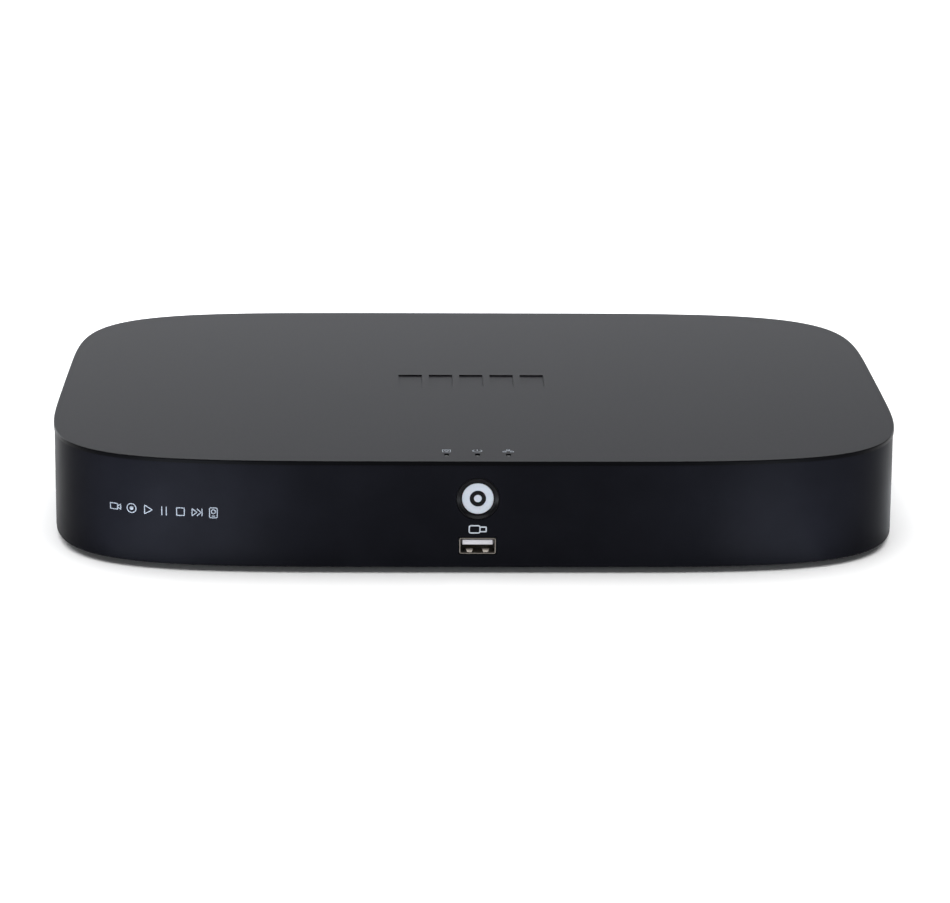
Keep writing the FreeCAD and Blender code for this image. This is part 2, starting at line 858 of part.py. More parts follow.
def tact_switch():
    """The switch under the button: its body on the board and the plunger that the button's stem pushes."""
    place = (0, "button_z")
    body_front = f"{FRONT_BOARD_FACE} - 3.5"
    housing = block(around(0, 3), (body_front, FRONT_BOARD_FACE), around("button_z", 3))
    well = rod("Y", place, (f"{body_front} - 1", f"{body_front} + 2"), 1.8)
    plunger = rod("Y", place, (f"{FRONT_BOARD_FACE} - 5", f"{body_front} + 1.3"), 1.7)
    sub_part("tact_switch_body", cut(housing, well))
    sub_part("tact_switch_plunger", plunger)


def status_lights():
    """Three lamps at the front board's top edge, and the light pipes from them up to the lid's slots."""
    lamps, pipes = [], []
    lamp_top = f"({LID_UNDER} - 6.5)"
    foot_span = (f"{lamp_top} + 0.2", f"{lamp_top} + 1.4")
    stem_span = (foot_span[0], f"{CASE_TOP} - 0.7")
    stem_radius = "(led_hole_radius - led_pipe_gap)"
    straight = "(led_hole_length/2 - led_hole_radius)"
    for i in (-1, 0, 1):
        x = f"{i}*led_pitch"
        lamp_y = ("led_y - 1", FRONT_BOARD_FACE)
        lamps.append(block(around(x, 1.6), lamp_y, (f"{lamp_top} - 1.8", lamp_top)))
        ends = [rod("Z", (x, f"led_y + {side}*{straight}"), stem_span, stem_radius) for side in (-1, 1)]
        web = block(around(x, stem_radius), around("led_y", straight), stem_span)
        pipes.append(fuse(*ends, web, rod("Z", (x, "led_y"), foot_span, 2)))
    bridge = block(around(0, "led_pitch"), around("led_y", 0.6), foot_span)
    sub_part("status_lamps", *lamps)
    sub_part("light_pipes", fuse(bridge, *pipes))


def usb_tongue(x, middle_z, half_width, half_height, mouth, back):
    """The plastic tongue and the block behind it that fills the back of the shell."""
    inward = 1 if value_of(back) > value_of(mouth) else -1
    tongue_span = ordered(f"({mouth}) + {inward}*0.6", back)
    filler_span = ordered(f"({back}) - {inward}*2", back)
    height = (f"({middle_z}) + 0.35", f"({middle_z}) + 2.2")
    tongue = block(around(x, "port_tongue_half_width"), tongue_span, height)
    filler = block(
        around(x, f"{half_width} - port_wall - 0.02"),
        filler_span,
        around(middle_z, f"{half_height} - port_wall - 0.02"),
    )
    return fuse(tongue, filler)


def usb_contacts(x, middle_z, mouth, back):
    """Four gilt strips under the tongue."""
    inward = 1 if value_of(back) > value_of(mouth) else -1
    span = ordered(f"({mouth}) + {inward}*1.6", f"({back}) - {inward}*2.2")
    height = (f"({middle_z}) + 0.2", f"({middle_z}) + 0.35")
    return [block(around(f"{x} + {offset}", 0.5), span, height) for offset in (-3.5, -1.0, 1.0, 3.5)]


def front_port():
    """The data port under the button: a steel shell with two spring fingers, and its tongue.

    Returns the port's contacts.
    """
    mouth, back = f"(-{FRAME_FRONT} + 0.1)", FRONT_BOARD_FACE
    half_width, half_height = "port_half_width", "port_half_height"
    outside = block(around(0, half_width), (mouth, back), around("port_z", half_height))
    inner = block(
        around(0, f"{half_width} - port_wall"),
        (f"{mouth} - 1", f"{back} + 1"),
        around("port_z", f"{half_height} - port_wall"),
    )
    shell_floor = "(port_z - port_half_height)"
    springs, windows = [], []
    for side in (-1, 1):
        middle = f"{side}*port_finger_x"
        window_y, finger_y = (f"{mouth} + 1.6", f"{mouth} + 6.5"), (f"{mouth} + 1.6", f"{mouth} + 6.6")
        finger_z = (f"{shell_floor} + 0.1", f"{shell_floor} + 0.5")
        windows.append(block(around(middle, 1.7), window_y, around(shell_floor, "port_wall")))
        springs.append(block(around(middle, 1.1), finger_y, finger_z))
    sub_part("front_port_shell", fuse(cut(outside, inner, *windows), *springs))
    tongue = usb_tongue("0", "port_z", half_width, half_height, mouth, back)
    sub_part("front_port_tongue", tongue)
    return usb_contacts("0", "port_z", mouth, back)


# ---------------------------------------------------------------- main board

def main_board():
    depth = ("board_front_y", "board_rear_y")
    board = block(around(0, "board_half_width"), depth, (BOARD_UNDER, BOARD_TOP))
    through = around(BOARD_UNDER, "2*board_thick")
    holes = [rod("Z", place, through, "board_hole_radius") for place in BOARD_SCREWS]
    sub_part("main_board", cut(board, *holes))


MEMORY_PLACES = [(-30, 56), (-30, 72)]
DECODER_PLACES = [(30, 78), (62, 78), (94, 78)]
CAPACITOR_PLACES = [(-112, 62), (-112, 74), (-100, 40), (-100, 52), (110, 62), (46, 44)]


def chips():
    """The processor under the heat sink, two memory chips and three video decoders."""
    def chip(x, y, half, height):
        return block(around(x, half), around(y, half), (BOARD_TOP, f"{BOARD_TOP} + {height}"))

    sub_part("processor", chip("fan_x", "fan_y", 13.5, 2))
    memory = [chip(x, y, 5.5, 1.1) for x, y in MEMORY_PLACES]
    decoders = [chip(x, y, 7, 1.4) for x, y in DECODER_PLACES]
    sub_part("board_chips", *memory, *decoders)


def capacitors():
    """Radial capacitors, each with a scored vent cross in its top."""
    cans = []
    for x, y in CAPACITOR_PLACES:
        can = rod("Z", (x, y), (BOARD_TOP, f"{BOARD_TOP} + 11.5"), 4)
        top = f"{BOARD_TOP} + 11.3"
        scores = [
            block(around(x, 2.4), around(y, 0.15), (top, f"{top} + 1")),
            block(around(x, 0.15), around(y, 2.4), (top, f"{top} + 1")),
        ]
        cans.append(cut(can, *scores))
    sub_part("capacitors", *cans)


def heat_sink():
    """Upright fins on a base plate. The fan stands on the fins."""
    half = "fan_size/2"
    base = block(around("fan_x", half), around("fan_y", half), (SINK_UNDER, f"{SINK_UNDER} + sink_base"))
    fins = []
    for i in range(count("sink_fin_count")):
        low = f"(fan_x - fan_size/2 + {i}*(fan_size - sink_fin_thick)/(sink_fin_count - 1))"
        fin_x, fin_z = (low, f"{low} + sink_fin_thick"), (f"{SINK_UNDER} + 1", FAN_UNDER)
        fins.append(block(fin_x, around("fan_y", half), fin_z))
    sub_part("heat_sink", fuse(base, *fins))


def fan_screw_places():
    return [(f"fan_x + {i}*fan_screw_offset", f"fan_y + {j}*fan_screw_offset") for i, j in CORNERS]


def fan_frame():
    """The fan's square frame: a round duct, three struts and the bearing tube that they hold."""
    axis = ("fan_x", "fan_y")
    top = f"{FAN_UNDER} + fan_height"
    frame = block(around("fan_x", "fan_size/2"), around("fan_y", "fan_size/2"), (FAN_UNDER, top))
    through = (f"{FAN_UNDER} - 1", f"{top} + 1")
    duct = rod("Z", axis, through, "fan_bore_radius")
    holes = [rod("Z", place, through, 1.7) for place in fan_screw_places()]
    motor_base = rod("Z", axis, (FAN_UNDER, f"{FAN_UNDER} + 1.5"), 9.5)
    bearing = rod("Z", axis, (FAN_UNDER, f"{FAN_UNDER} + 6"), 3)
    bore = rod("Z", axis, (f"{FAN_UNDER} + 0.6", f"{FAN_UNDER} + 7"), "fan_shaft_radius + 0.05")
    struts = []
    half_width = 1.2
    for degrees in (30, 150, 270):
        strut = block((0, 20), (-half_width, half_width), (0, 1.5))
        strut.Placement.Rotation = FreeCAD.Rotation(Vector(0, 0, 1), degrees)
        turn = math.radians(degrees)
        bind(
            strut,
            at_x=f"fan_x + {half_width * math.sin(turn):.6f}",
            at_y=f"fan_y - {half_width * math.cos(turn):.6f}",
            at_z=FAN_UNDER,
        )
        struts.append(strut)
    shell = cut(frame, duct, *holes)
    sub_part("fan_frame", cut(fuse(shell, motor_base, bearing, *struts), bore))


def fan_rotor():
    """The fan's hub, seven pitched blades, and the shaft that turns in the frame's bearing."""
    axis = ("fan_x", "fan_y")
    low, high = f"({FAN_UNDER} + 2)", f"({FAN_UNDER} + 9.4)"
    hub = cut(
        rod("Z", axis, (low, high), "fan_hub_radius"),
        rod("Z", axis, (f"{low} - 1", f"{high} - 1"), "fan_hub_radius - 1"),
    )
    shaft = rod("Z", axis, (f"{FAN_UNDER} + 0.8", f"{high} - 0.5"), "fan_shaft_radius")
    sweep = cut(
        rod("Z", axis, (low, high), "fan_bore_radius - 0.6"),
        rod("Z", axis, (f"{low} - 1", f"{high} + 1"), "fan_hub_radius - 0.5"),
    )
    blades = []
    blade_count = count("fan_blade_count")
    blade_shift = 3
    blade_pitch = FreeCAD.Rotation(Vector(1, 0, 0), 38)
    for i in range(blade_count):
        degrees = 360 * i / blade_count
        turn = math.radians(degrees)
        blade = block((0, 22), (0, 9.5), (0, 0.9))
        blade.Placement.Rotation = FreeCAD.Rotation(Vector(0, 0, 1), degrees).multiply(blade_pitch)
        bind(
            blade,
            at_x=f"fan_x + {blade_shift * math.sin(turn):.6f}",
            at_y=f"fan_y - {blade_shift * math.cos(turn):.6f}",
            at_z=f"{low} + 0.6",
        )
        blades.append(blade)
    trimmed = common(fuse(*blades), sweep)
    sub_part("fan_rotor", fuse(hub, shaft, trimmed))


def fan_screws():
    top = f"({FAN_UNDER} + fan_height)"
    tip = f"{FAN_UNDER} + 0.2"
    sub_part("fan_screws", *[screw(x, y, top, tip) for x, y in fan_screw_places()])


# ---------------------------------------------------------------- sockets on the back

def dc_socket():
    """The power socket: a round well with a centre pin."""
    axis = ("dc_x", f"{BOARD_TOP} + 6.2")
    well_bottom, pin_tip = "panel_y - 10", "panel_y - 0.6"
    width, depth = around("dc_x", "dc_half_width"), ("panel_y - 13.5", SOCKET_FACE)
    housing = block(width, depth, (BOARD_TOP, f"{BOARD_TOP} + dc_height"))
    well = rod("Y", axis, (well_bottom, "panel_y + 1"), 3.15)
    sub_part("dc_socket_housing", cut(housing, well))
    pin = rod("Y", axis, (well_bottom, pin_tip), 1.0)
    tip_y = value_of(pin_tip)
    sub_part("dc_socket_pin", rounded(pin, 0.4, lambda edge: edge.BoundBox.YMin > tip_y - 1e-6))


def control_terminal():
    """A two-way screw terminal: a green block with wire entries in its face, and the two clamp screws."""
    face = "(panel_y + 2)"
    height = (BOARD_TOP, f"{BOARD_TOP} + terminal_height")
    housing = block(around("terminal_x", "terminal_half_width"), (f"{face} - 9", face), height)
    wells, screws = [], []
    screw_y = f"({face} - 5.6)"
    entry_z = (f"{BOARD_TOP} + 1.6", f"{BOARD_TOP} + 4.8")
    for side in (-1, 1):
        x = f"(terminal_x + {side}*terminal_pitch/2)"
        wells.append(block(around(x, 1.5), (f"{face} - 4", f"{face} + 1"), entry_z))
        wells.append(rod("Z", (x, screw_y), (f"{BOARD_TOP} + 6", f"{BOARD_TOP} + 11"), 1.55))
        head = rod("Z", (x, screw_y), (f"{BOARD_TOP} + 6", f"{BOARD_TOP} + 9.4"), 1.5)
        slot = block(around(x, 2), around(screw_y, 0.25), (f"{BOARD_TOP} + 8.7", f"{BOARD_TOP} + 10"))
        screws.append(cut(head, slot))
    sub_part("terminal_block", cut(housing, *wells))
    sub_part("terminal_screws", *screws)


def rear_usb():
    """Two stacked data ports in one shell. Returns their contacts."""
    mouth, back = SOCKET_FACE, "panel_y - 15"
    half_width = "rear_usb_half_width"
    height = (BOARD_TOP, f"{BOARD_TOP} + rear_usb_height")
    outside = block(around("rear_usb_x", half_width), (back, mouth), height)
    inside = around("rear_usb_x", f"{half_width} - port_wall")
    cavities, tongues, contacts = [], [], []
    for rise in ("rear_usb_height/4", "3*rear_usb_height/4"):
        middle = f"({BOARD_TOP} + {rise})"
        cavities.append(block(inside, ("panel_y - 20", "panel_y + 1"), around(middle, 2.9)))
        tongues.append(usb_tongue("rear_usb_x", middle, half_width, "3.25", mouth, back))
        contacts += usb_contacts("rear_usb_x", middle, mouth, back)
    sub_part("rear_usb_shell", cut(outside, *cavities))
    sub_part("rear_usb_tongues", *tongues)
    return contacts


def network_socket():
    """The network socket: a shielded box round an insert with a latch slot. Returns its contacts."""
    low, face = BOARD_TOP, SOCKET_FACE
    high = f"({low} + lan_height)"
    wall = 0.4
    outside = block(around("lan_x", "lan_half_width"), (f"{face} - 16", face), (low, high))
    inner = block(
        around("lan_x", f"lan_half_width - {wall}"),
        (f"{face} - 15.6", f"{face} + 1"),
        (f"{low} + {wall}", f"{high} - {wall}"),
    )
    sub_part("network_socket_shell", cut(outside, inner))
    clear = wall + 0.02
    insert = block(
        around("lan_x", f"lan_half_width - {clear}"),
        (f"{face} - 15.6", f"{face} - 0.2"),
        (f"{low} + {clear}", f"{high} - {clear}"),
    )
    mouth_y = (f"{face} - 12.5", f"{face} + 1")
    mouth = block(around("lan_x", 5.95), mouth_y, (f"{low} + 3.6", f"{low} + 10.6"))
    latch = block(around("lan_x", 3.1), mouth_y, (f"{low} + 1.4", f"{low} + 3.7"))
    sub_part("network_socket_insert", cut(insert, mouth, latch))
    contact_y = (f"{face} - 12.5", f"{face} - 3")
    contact_z = (f"{low} + 10.2", f"{low} + 10.6")
    middles = [f"lan_x + ({i} - 3.5)*lan_contact_pitch" for i in range(8)]
    return [block(around(middle, 0.2), contact_y, contact_z) for middle in middles]


def hdmi_socket():
    """The digital video socket: a shell with cut lower corners and a thin tongue."""
    low, face = BOARD_TOP, SOCKET_FACE
    body = new_body("hdmi_shell")
    outline = new_sketch(body, "XZ", f"-{face}")
    polygon(outline, hdmi_outline(0))
    pad(body, outline, 12)
    hollow = new_sketch(body, "XZ", f"-{face}")
    polygon(hollow, hdmi_outline("0.4"))
    pocket(body, hollow, 23)
    root = f"{face} - 11"
    tongue = block(around("hdmi_x", 5.7), (root, f"{face} - 1.2"), (f"{low} + 2.9", f"{low} + 3.9"))
    filler = block(around("hdmi_x", 5.6), (root, f"{face} - 9.6"), (f"{low} + 0.62", f"{low} + 5.38"))
    sub_part("hdmi_tongue", fuse(tongue, filler))


def hdmi_outline(inset):
    """Corners of the socket's shell, moved in by inset."""
    low, high = f"{BOARD_TOP} + 0.2 + {inset}", f"{BOARD_TOP} + hdmi_height - 0.2 - {inset}"
    wide, narrow = f"(hdmi_half_width - {inset})", f"(hdmi_half_width - 1.4 - {inset})"
    step = f"{BOARD_TOP} + 2.2 + {inset}/2"
    return [
        (f"hdmi_x - {narrow}", low),
        (f"hdmi_x + {narrow}", low),
        (f"hdmi_x + {wide}", step),
        (f"hdmi_x + {wide}", high),
        (f"hdmi_x - {wide}", high),
        (f"hdmi_x - {wide}", step),
    ]


def vga_outline(grow):
    """The D shape, wider above than below, grown by a margin."""
    top, bottom, half = f"(8.3 + {grow})", f"(7.1 + {grow})", f"(4.15 + {grow})"
    return [
        (f"vga_x - {bottom}", f"vga_z - {half}"),
        (f"vga_x + {bottom}", f"vga_z - {half}"),
        (f"vga_x + {top}", f"vga_z + {half}"),
        (f"vga_x - {top}", f"vga_z + {half}"),
    ]


def vga_socket():
    """The analogue video socket: a flanged D shell, its insulator with fifteen holes, and two standoffs."""
    flange_back = f"({PANEL_BACK} - vga_flange_thick)"
    flange_x = around("vga_x", "vga_flange_half_width")
    flange_z = around("vga_z", "vga_flange_half_height")
    screw_places = [(f"vga_x + {side}*vga_screw_offset", "vga_z") for side in (-1, 1)]

    shell = new_body("vga_shell")
    flange = new_sketch(shell, "XZ", f"-{PANEL_BACK}")
    rectangle(flange, flange_x, flange_z)
    pad(shell, flange, "vga_flange_thick")
    collar = new_sketch(shell, "XZ", "-(panel_y + vga_collar_length)")
    polygon(collar, vga_outline("0.3"))
    pad(shell, collar, "vga_collar_length + panel_thick + vga_flange_thick")
    hollow = new_sketch(shell, "XZ", "-panel_y")
    polygon(hollow, vga_outline("0"))
    for x, z in screw_places:
        circle(hollow, x, z, 1.5)
    pocket(shell, hollow, 30)

    insulator = new_body("vga_insulator")
    face = "(panel_y + vga_collar_length - 0.5)"
    front = new_sketch(insulator, "XZ", f"-{face}")
    polygon(front, vga_outline("-0.02"))
    pad(insulator, front, f"{face} - {flange_back} + 0.5")
    rear = new_sketch(insulator, "XZ", f"-{flange_back}")
    rectangle(rear, flange_x, flange_z)
    pad(insulator, rear, 9)
    sockets = new_sketch(insulator, "XZ", f"-{face}")
    pitch_x, pitch_z = 2.29, 1.98
    for row in (-1, 0, 1):
        shift = pitch_x / 4 if row == 0 else -pitch_x / 4
        for column in range(-2, 3):
            x = f"vga_x + {column * pitch_x + shift:.4f}"
            circle(sockets, x, f"vga_z + {row * pitch_z}", 0.5)
    pocket(insulator, sockets, 8)
    thread_room = new_sketch(insulator, "XZ", f"-{flange_back}")
    for x, z in screw_places:
        circle(thread_room, x, z, 1.6)
    pocket(insulator, thread_room, 12)

    standoffs = []
    for axis in screw_places:
        nut = doc.addObject("Part::Prism", "Prism")
        nut.Polygon = 6
        nut.Placement = FreeCAD.Placement(Vector(), TURNS["Y"])
        bind(nut, Circumradius=2.75, Height=5.2, at_x=axis[0], at_y="panel_y", at_z=axis[1])
        stud = rod("Y", axis, ("panel_y - 4", "panel_y + 1"), 1.4)
        thread = rod("Y", axis, ("panel_y + 0.7", "panel_y + 7"), 1.25)
        standoffs.append(cut(fuse(nut, stud), thread))
    sub_part("vga_standoffs", *standoffs)


def audio_sockets():
    """Two stacked phono sockets: one housing, two metal sleeves and two coloured cores."""
    width = around("audio_x", "audio_half_width")
    housing = block(width, ("panel_y - 15", PANEL_BACK), (BOARD_TOP, "audio_high_z + audio_half_width"))
    heights = {"audio_out": "audio_low_z", "audio_in": "audio_high_z"}
    wells = [rod("Y", ("audio_x", z), ("panel_y - 5", "panel_y + 1"), 4.17) for z in heights.values()]
    sub_part("audio_housing", cut(housing, *wells))
    sleeves = []
    for name, z in heights.items():
        axis = ("audio_x", z)
        collar = rod("Y", axis, (PANEL_BACK, "panel_y + 0.8"), "audio_half_width")
        barrel = rod("Y", axis, (PANEL_BACK, "panel_y + 9.5"), "audio_barrel_radius")
        bore = rod("Y", axis, ("panel_y - 3", "panel_y + 11"), "audio_core_radius + 0.02")
        sleeves.append(cut(fuse(collar, barrel), bore))
        core = rod("Y", axis, ("panel_y - 5", "panel_y + 9.2"), "audio_core_radius")
        sub_part(f"{name}_core", cut(core, rod("Y", axis, ("panel_y - 1", "panel_y + 11"), 1.7)))
    sub_part("audio_sleeves", *sleeves)


def bnc_sockets():
    """Eight video inputs: housings on the board, bayonet shells, white insulators and gilt contacts."""
    housings, shells, insulators, contacts = [], [], [], []
    end = "(panel_y + bnc_length)"
    through = ("panel_y - 2", f"{end} + 1")
    contact_radius = 0.78
    for i in range(count("bnc_count")):
        x = f"(bnc_first_x + {i}*bnc_pitch)"
        axis = (x, "bnc_z")
        housing_z = (BOARD_TOP, "bnc_z + 7")
        housings.append(block(around(x, 6.9), ("panel_y - 17", PANEL_BACK), housing_z))
        seat = rod("Y", axis, (PANEL_BACK, "panel_y + 1.4"), "bnc_seat_radius")
        barrel = rod("Y", axis, (PANEL_BACK, end), "bnc_radius")
        lugs = rod("X", (f"{end} - 5.2", "bnc_z"), around(x, "bnc_radius + 0.75"), 1)
        shells.append(cut(fuse(seat, barrel, lugs), rod("Y", axis, through, "bnc_bore_radius")))
        disc = rod("Y", axis, (PANEL_BACK, "panel_y + 1.5"), "bnc_bore_radius - 0.02")
        nose = rod("Y", axis, (PANEL_BACK, f"{end} - 1.2"), 2.4)
        channel = rod("Y", axis, through, contact_radius + 0.02)
        insulators.append(cut(fuse(disc, nose), channel))
        contact_bore = (f"{end} - 6", f"{end} + 1")
        contacts.append(tube("Y", axis, (PANEL_BACK, f"{end} - 1.4"), contact_radius, 0.45, contact_bore))
    sub_part("bnc_housings", *housings)
    sub_part("bnc_shells", *shells)
    sub_part("bnc_insulators", *insulators)
    sub_part("bnc_contacts", *contacts)


# ---------------------------------------------------------------- disk drive

def drive_casting():
    """The drive's cast base: a round well for the platters, a square one for the arm, and two posts."""
    x = ("drive_x", "drive_x + drive_length")
    y = ("drive_y", "drive_y + drive_width")
    spindle, pivot = (SPINDLE_X, DRIVE_MID_Y), ("pivot_x", "pivot_y")
    solid = block(x, y, (DRIVE_UNDER, DRIVE_TOP))
    well_z = (DRIVE_FLOOR, f"{DRIVE_TOP} + 1")
    platter_well = rod("Z", spindle, well_z, "platter_radius + 1")
    arm_well = block(("drive_x + 9", f"{SPINDLE_X} - 10"), around(DRIVE_MID_Y, "drive_width/2 - 4"), well_z)
    board_recess = block(
        ("drive_x - 1", "drive_x + drive_length - 22"),
        around(DRIVE_MID_Y, "drive_width/2 - 9"),
        (f"{DRIVE_UNDER} - 1", f"{DRIVE_UNDER} + 3"),
    )
    plug_recess = block(
        ("drive_x - 1", "drive_x + 7"),
        around(DRIVE_MID_Y, 22),
        (f"{DRIVE_UNDER} - 1", f"{DRIVE_UNDER} + 6.2"),
    )
    hole_z = (f"{DRIVE_UNDER} - 1", f"{DRIVE_UNDER} + 4.5")
    screw_holes = [rod("Z", place, hole_z, "board_hole_radius") for place in drive_screw_places()]
    post_z = (f"{DRIVE_FLOOR} - 1", f"{DRIVE_FLOOR} + 14")
    posts = [
        rod("Z", spindle, post_z, "spindle_post_radius"),
        rod("Z", pivot, post_z, "pivot_post_radius"),
    ]
    hollow = cut(solid, fuse(platter_well, arm_well), board_recess, plug_recess, *screw_holes)
    sub_part("drive_casting", fuse(hollow, *posts))


def drive_cover():
    """The drive's thin lid with its raised field."""

    def layer(inset, thick):
        x = (f"drive_x + {inset}", f"drive_x + drive_length - {inset}")
        y = (f"drive_y + {inset}", f"drive_y + drive_width - {inset}")
        return block(x, y, (DRIVE_TOP, f"{DRIVE_TOP} + {thick}"))

    sub_part("drive_cover", fuse(layer(0.5, 0.7), layer(6, "drive_cover_thick")))


def drive_platters():
    """Two platters on the hub that turns about the spindle post."""
    axis = (SPINDLE_X, DRIVE_MID_Y)
    hub = fuse(
        rod("Z", axis, (f"{DRIVE_FLOOR} + 1", f"{DRIVE_FLOOR} + 14.5"), "hub_radius"),
        rod("Z", axis, (f"{DRIVE_FLOOR} + 1", f"{DRIVE_FLOOR} + 3"), "hub_radius + 2"),
    )
    bore = rod("Z", axis, (f"{DRIVE_FLOOR} - 1", f"{DRIVE_FLOOR} + 14.1"), "spindle_post_radius + 0.05")
    sub_part("drive_hub", cut(hub, bore))
    platters = []
    for rise in (4.2, 10.2):
        low = f"({DRIVE_FLOOR} + {rise})"
        span = (low, f"{low} + platter_thick")
        platters.append(tube("Z", axis, span, "platter_radius", "hub_radius + 0.02"))
    sub_part("drive_platters", *platters)


ARM_LEVELS = (2.6, 7.4, 12.6)


def drive_arm():
    """The head arm on its pivot: three tapered leaves towards the heads and the coil behind."""
    body = new_body("drive_arm")
    angle = math.radians(size("arm_rest_angle"))

    def place(along, across):
        """A point that lies along and across the arm, in the case's frame."""
        dx = along * math.cos(angle) - across * math.sin(angle)
        dy = along * math.sin(angle) + across * math.cos(angle)
        return (f"pivot_x + {dx:.4f}", f"pivot_y + {dy:.4f}")

    reach = size("arm_length")
    one_side = [(3, 5.5), (reach - 14, 2.4), (reach, 1.2)]
    other_side = [(along, -across) for along, across in reversed(one_side)]
    drum = new_sketch(body, "XY", f"{DRIVE_FLOOR} + 0.8")
    circle(drum, "pivot_x", "pivot_y", 6.5)
    pad(body, drum, 13)
    for level in ARM_LEVELS:
        leaf = new_sketch(body, "XY", f"{DRIVE_FLOOR} + {level}")
        polygon(leaf, [place(*point) for point in one_side + other_side])
        pad(body, leaf, 0.9)
    coil = new_sketch(body, "XY", f"{DRIVE_FLOOR} + 6.6")
    polygon(coil, [place(-4, -4.5), place(-4, 4.5), place(-20, 10), place(-23, 0), place(-20, -10)])
    pad(body, coil, 2)
    bore = new_sketch(body, "XY", DRIVE_FLOOR)
    circle(bore, "pivot_x", "pivot_y", "pivot_post_radius + 0.05")
    pocket(body, bore, 40)


def drive_magnets():
    """The two magnet plates, one under and one over the arm's coil."""
    x, y = ("drive_x + 10", "drive_x + 38"), ("pivot_y + 10", "drive_y + drive_width - 5")
    lower = block(x, y, (DRIVE_FLOOR, f"{DRIVE_FLOOR} + 5.6"))
    upper = block(x, y, (f"{DRIVE_FLOOR} + 9.6", f"{DRIVE_FLOOR} + 15.5"))
    sub_part("drive_magnets", lower, upper)


def drive_board():
    """The drive's own board in the recess under the casting, with its plug header at one end."""
    board = block(
        ("drive_x + 6", "drive_x + drive_length - 23"),
        around(DRIVE_MID_Y, "drive_width/2 - 9.5"),
        (f"{DRIVE_UNDER} + 1.4", f"{DRIVE_UNDER} + 2.9"),
    )
    header_z = (f"{DRIVE_UNDER} + 1.4", f"{DRIVE_UNDER} + 6")
    header = block(("drive_x", "drive_x + 6.9"), around(DRIVE_MID_Y, 21), header_z)
    slots = [
        block(
            ("drive_x - 1", "drive_x + 5"),
            around(f"{DRIVE_MID_Y} + {middle}", half),
            (f"{DRIVE_UNDER} + 2.6", f"{DRIVE_UNDER} + 4.8"),
        )
        for middle, half in ((-13, 5.5), (6.5, 11.5))
    ]
    sub_part("drive_board", fuse(board, cut(header, *slots)))


# ---------------------------------------------------------------- internal leads

DRIVE_PLUGS = [(-13, 5.4), (6.5, 11.4)]
DATA_LEAD_X = -65
POWER_LEAD_X = -45
FAN_LEAD_X = -75
FRONT_LEAD_X = -28
FRONT_LEAD_END = -24
DRIVE_PLUG_LENGTH = 14


def flat_lead(label, stations, radius, thick, z):
    """A flat lead standing on edge: straight runs joined by arcs, all at one height."""
    wire = rounded_path([Vector(x, y, 0) for x, y in stations], radius)
    lift = Vector(0, 0, value_of(z[0]))
    rise = Vector(0, 0, value_of(z[1]) - value_of(z[0]))
    start, towards = Vector(*stations[0], 0) + lift, Vector(*stations[1], 0) + lift
    along = (towards - start).normalize()
    across = Vector(-along.y, along.x, 0) * (thick / 2)
    corners = [start + across, start - across, start - across + rise, start + across + rise]
    profile = Part.makePolygon(corners + corners[:1])
    spine = wire.copy()
    spine.translate(lift)
    lead = doc.addObject("Part::Feature", "Lead")
    lead.Shape = spine.makePipeShell([profile], True, True)
    sub_part(label, lead)


def round_lead(label, stations, bend, radius):
    """A round lead along straight runs joined by arcs."""
    spine = rounded_path([Vector(*p) for p in stations], bend)
    start, towards = Vector(*stations[0]), Vector(*stations[1])
    ring = Part.Wire(Part.makeCircle(radius, start, towards - start))
    lead = doc.addObject("Part::Feature", "Lead")
    lead.Shape = spine.makePipeShell([ring], True, True)
    expected = math.pi * radius**2 * spine.Length
    if abs(lead.Shape.Volume - expected) > 0.02 * expected:
        raise RuntimeError(f"{label} has the wrong volume")
    sub_part(label, lead)


def rounded_path(points, radius):
    """A wire through the points, with each corner replaced by a tangent arc."""
    edges = []
    start = points[0]
    for before, corner, after in zip(points, points[1:], points[2:]):
        inward = (before - corner).normalize()
        outward = (after - corner).normalize()
        half_turn = (math.pi - inward.getAngle(outward)) / 2
        back = radius * math.tan(half_turn)
        first, last = corner + inward * back, corner + outward * back
        bisector = (inward + outward).normalize()
        middle = corner + bisector * (radius / math.cos(half_turn) - radius)
        edges.append(Part.LineSegment(start, first).toShape())
        edges.append(Part.Arc(first, middle, last).toShape())
        start = last
    edges.append(Part.LineSegment(start, points[-1]).toShape())
    return Part.Wire(edges)


